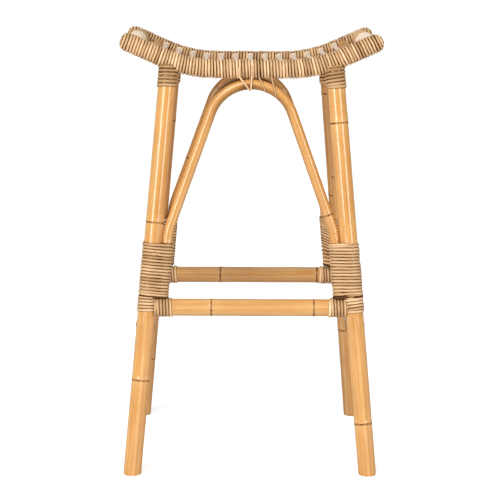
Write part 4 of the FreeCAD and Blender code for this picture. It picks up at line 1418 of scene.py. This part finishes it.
class STOOL_OT_set_stage(bpy.types.Operator):
    """Lay the floor, place the camera and hang the soft lights."""

    bl_idname = "stool.set_stage"
    bl_label = "Set Stage"

    def execute(self, context):
        stage = context.scene.stool_stage
        mesh = bpy.data.meshes.new("studio_floor")
        reach = 14.0
        corners = [(-reach, -reach, 0), (reach, -reach, 0), (reach, reach, 0), (-reach, reach, 0)]
        mesh.from_pydata(corners, [], [(0, 1, 2, 3)])
        mesh.materials.append(floor_finish())
        floor = bpy.data.objects.new("studio_floor", mesh)
        context.scene.collection.objects.link(floor)

        middle = (0, 0, 0.42)
        soft_light("left_strip", (-1.45, -2.3, 1.05), middle, 0.75, 1.3, stage.left_strip)
        soft_light("right_strip", (1.75, -2.1, 1.05), middle, 0.75, 1.3, stage.right_strip)
        soft_light("side_light", (-2.4, -0.9, 1.3), middle, 0.9, 2.2, stage.side_power)
        sun = bpy.data.lights.new("even_sun", "SUN")
        sun.energy = stage.sun_power
        sun.angle = math.radians(28)
        lamp = bpy.data.objects.new("even_sun", sun)
        context.scene.collection.objects.link(lamp)
        lamp.matrix_world = Vector((-0.55, -1.35, 1.15)).to_track_quat("Z", "Y").to_matrix().to_4x4()
        world = bpy.data.worlds.new("White Surround")
        world.use_nodes = True
        nodes = world.node_tree
        seen = nodes.nodes.new("ShaderNodeLightPath").outputs["Is Camera Ray"]
        backdrop = nodes.nodes["Background"].inputs
        backdrop["Color"].default_value = (1, 1, 1, 1)
        sky = nodes.nodes.new("ShaderNodeTexCoord").outputs["Generated"]
        way = add(nodes, "ShaderNodeSeparateXYZ", Vector=sky)
        given = ranged(nodes, way.outputs[2], 0.05, 0.75, stage.surround, stage.overhead)
        link(nodes, arithmetic(nodes, "MAXIMUM", given, seen), backdrop["Strength"])
        context.scene.world = world
        context.scene.view_settings.view_transform = "Standard"

        data = bpy.data.cameras.new("stool_camera")
        data.lens = stage.camera_lens
        data.sensor_width = 36
        camera = bpy.data.objects.new("stool_camera", data)
        context.scene.collection.objects.link(camera)
        camera.matrix_world = (
            Matrix.Translation(stage.camera_place)
            @ Matrix.Rotation(-stage.camera_turn, 4, "Z")
            @ Matrix.Rotation(math.pi / 2 - stage.camera_pitch, 4, "X")
            @ Matrix.Rotation(stage.camera_roll, 4, "Z")
        )
        context.scene.camera = camera
        return {"FINISHED"}


# ---------------------------------------------------------------- the panel
STEPS = (
    STOOL_OT_grow_legs,
    STOOL_OT_bend_arches,
    STOOL_OT_fit_foot_bars,
    STOOL_OT_set_seat_poles,
    STOOL_OT_lay_deck,
    STOOL_OT_wind_seat,
    STOOL_OT_bind_legs,
    STOOL_OT_wrap_foot_bars,
    STOOL_OT_tie_crowns,
    STOOL_OT_set_stage,
)


class STOOL_PT_workshop(bpy.types.Panel):
    """Lists the steps that make the stool, and its settings."""

    bl_idname = "STOOL_PT_workshop"
    bl_label = "Rattan Bar Stool"
    bl_space_type = "VIEW_3D"
    bl_region_type = "UI"
    bl_category = "Stool"

    def draw(self, context):
        column = self.layout.column(align=True)
        for step in STEPS:
            column.operator(step.bl_idname)
        for group in SETTINGS:
            box = self.layout.box()
            settings = getattr(context.scene, group)
            for name in settings.bl_rna.properties.keys():
                if name not in ("rna_type", "name"):
                    box.prop(settings, name)


SETTINGS = {
    "stool_frame": StoolFrameSizes,
    "stool_canes": StoolCaneSizes,
    "stool_colours": StoolColours,
    "stool_stage": StoolStage,
}
CLASSES = (*SETTINGS.values(), *STEPS, STOOL_PT_workshop)


def register():
    for part in CLASSES:
        bpy.utils.register_class(part)
    for name, group in SETTINGS.items():
        setattr(bpy.types.Scene, name, bpy.props.PointerProperty(type=group))


def unregister():
    for name in SETTINGS:
        delattr(bpy.types.Scene, name)
    for part in reversed(CLASSES):
        bpy.utils.unregister_class(part)


def main():
    register()
    for step in STEPS:
        family, action = step.bl_idname.split(".")
        getattr(getattr(bpy.ops, family), action)()
    bpy.context.view_layer.update()


if __name__ == "__main__":
    main()
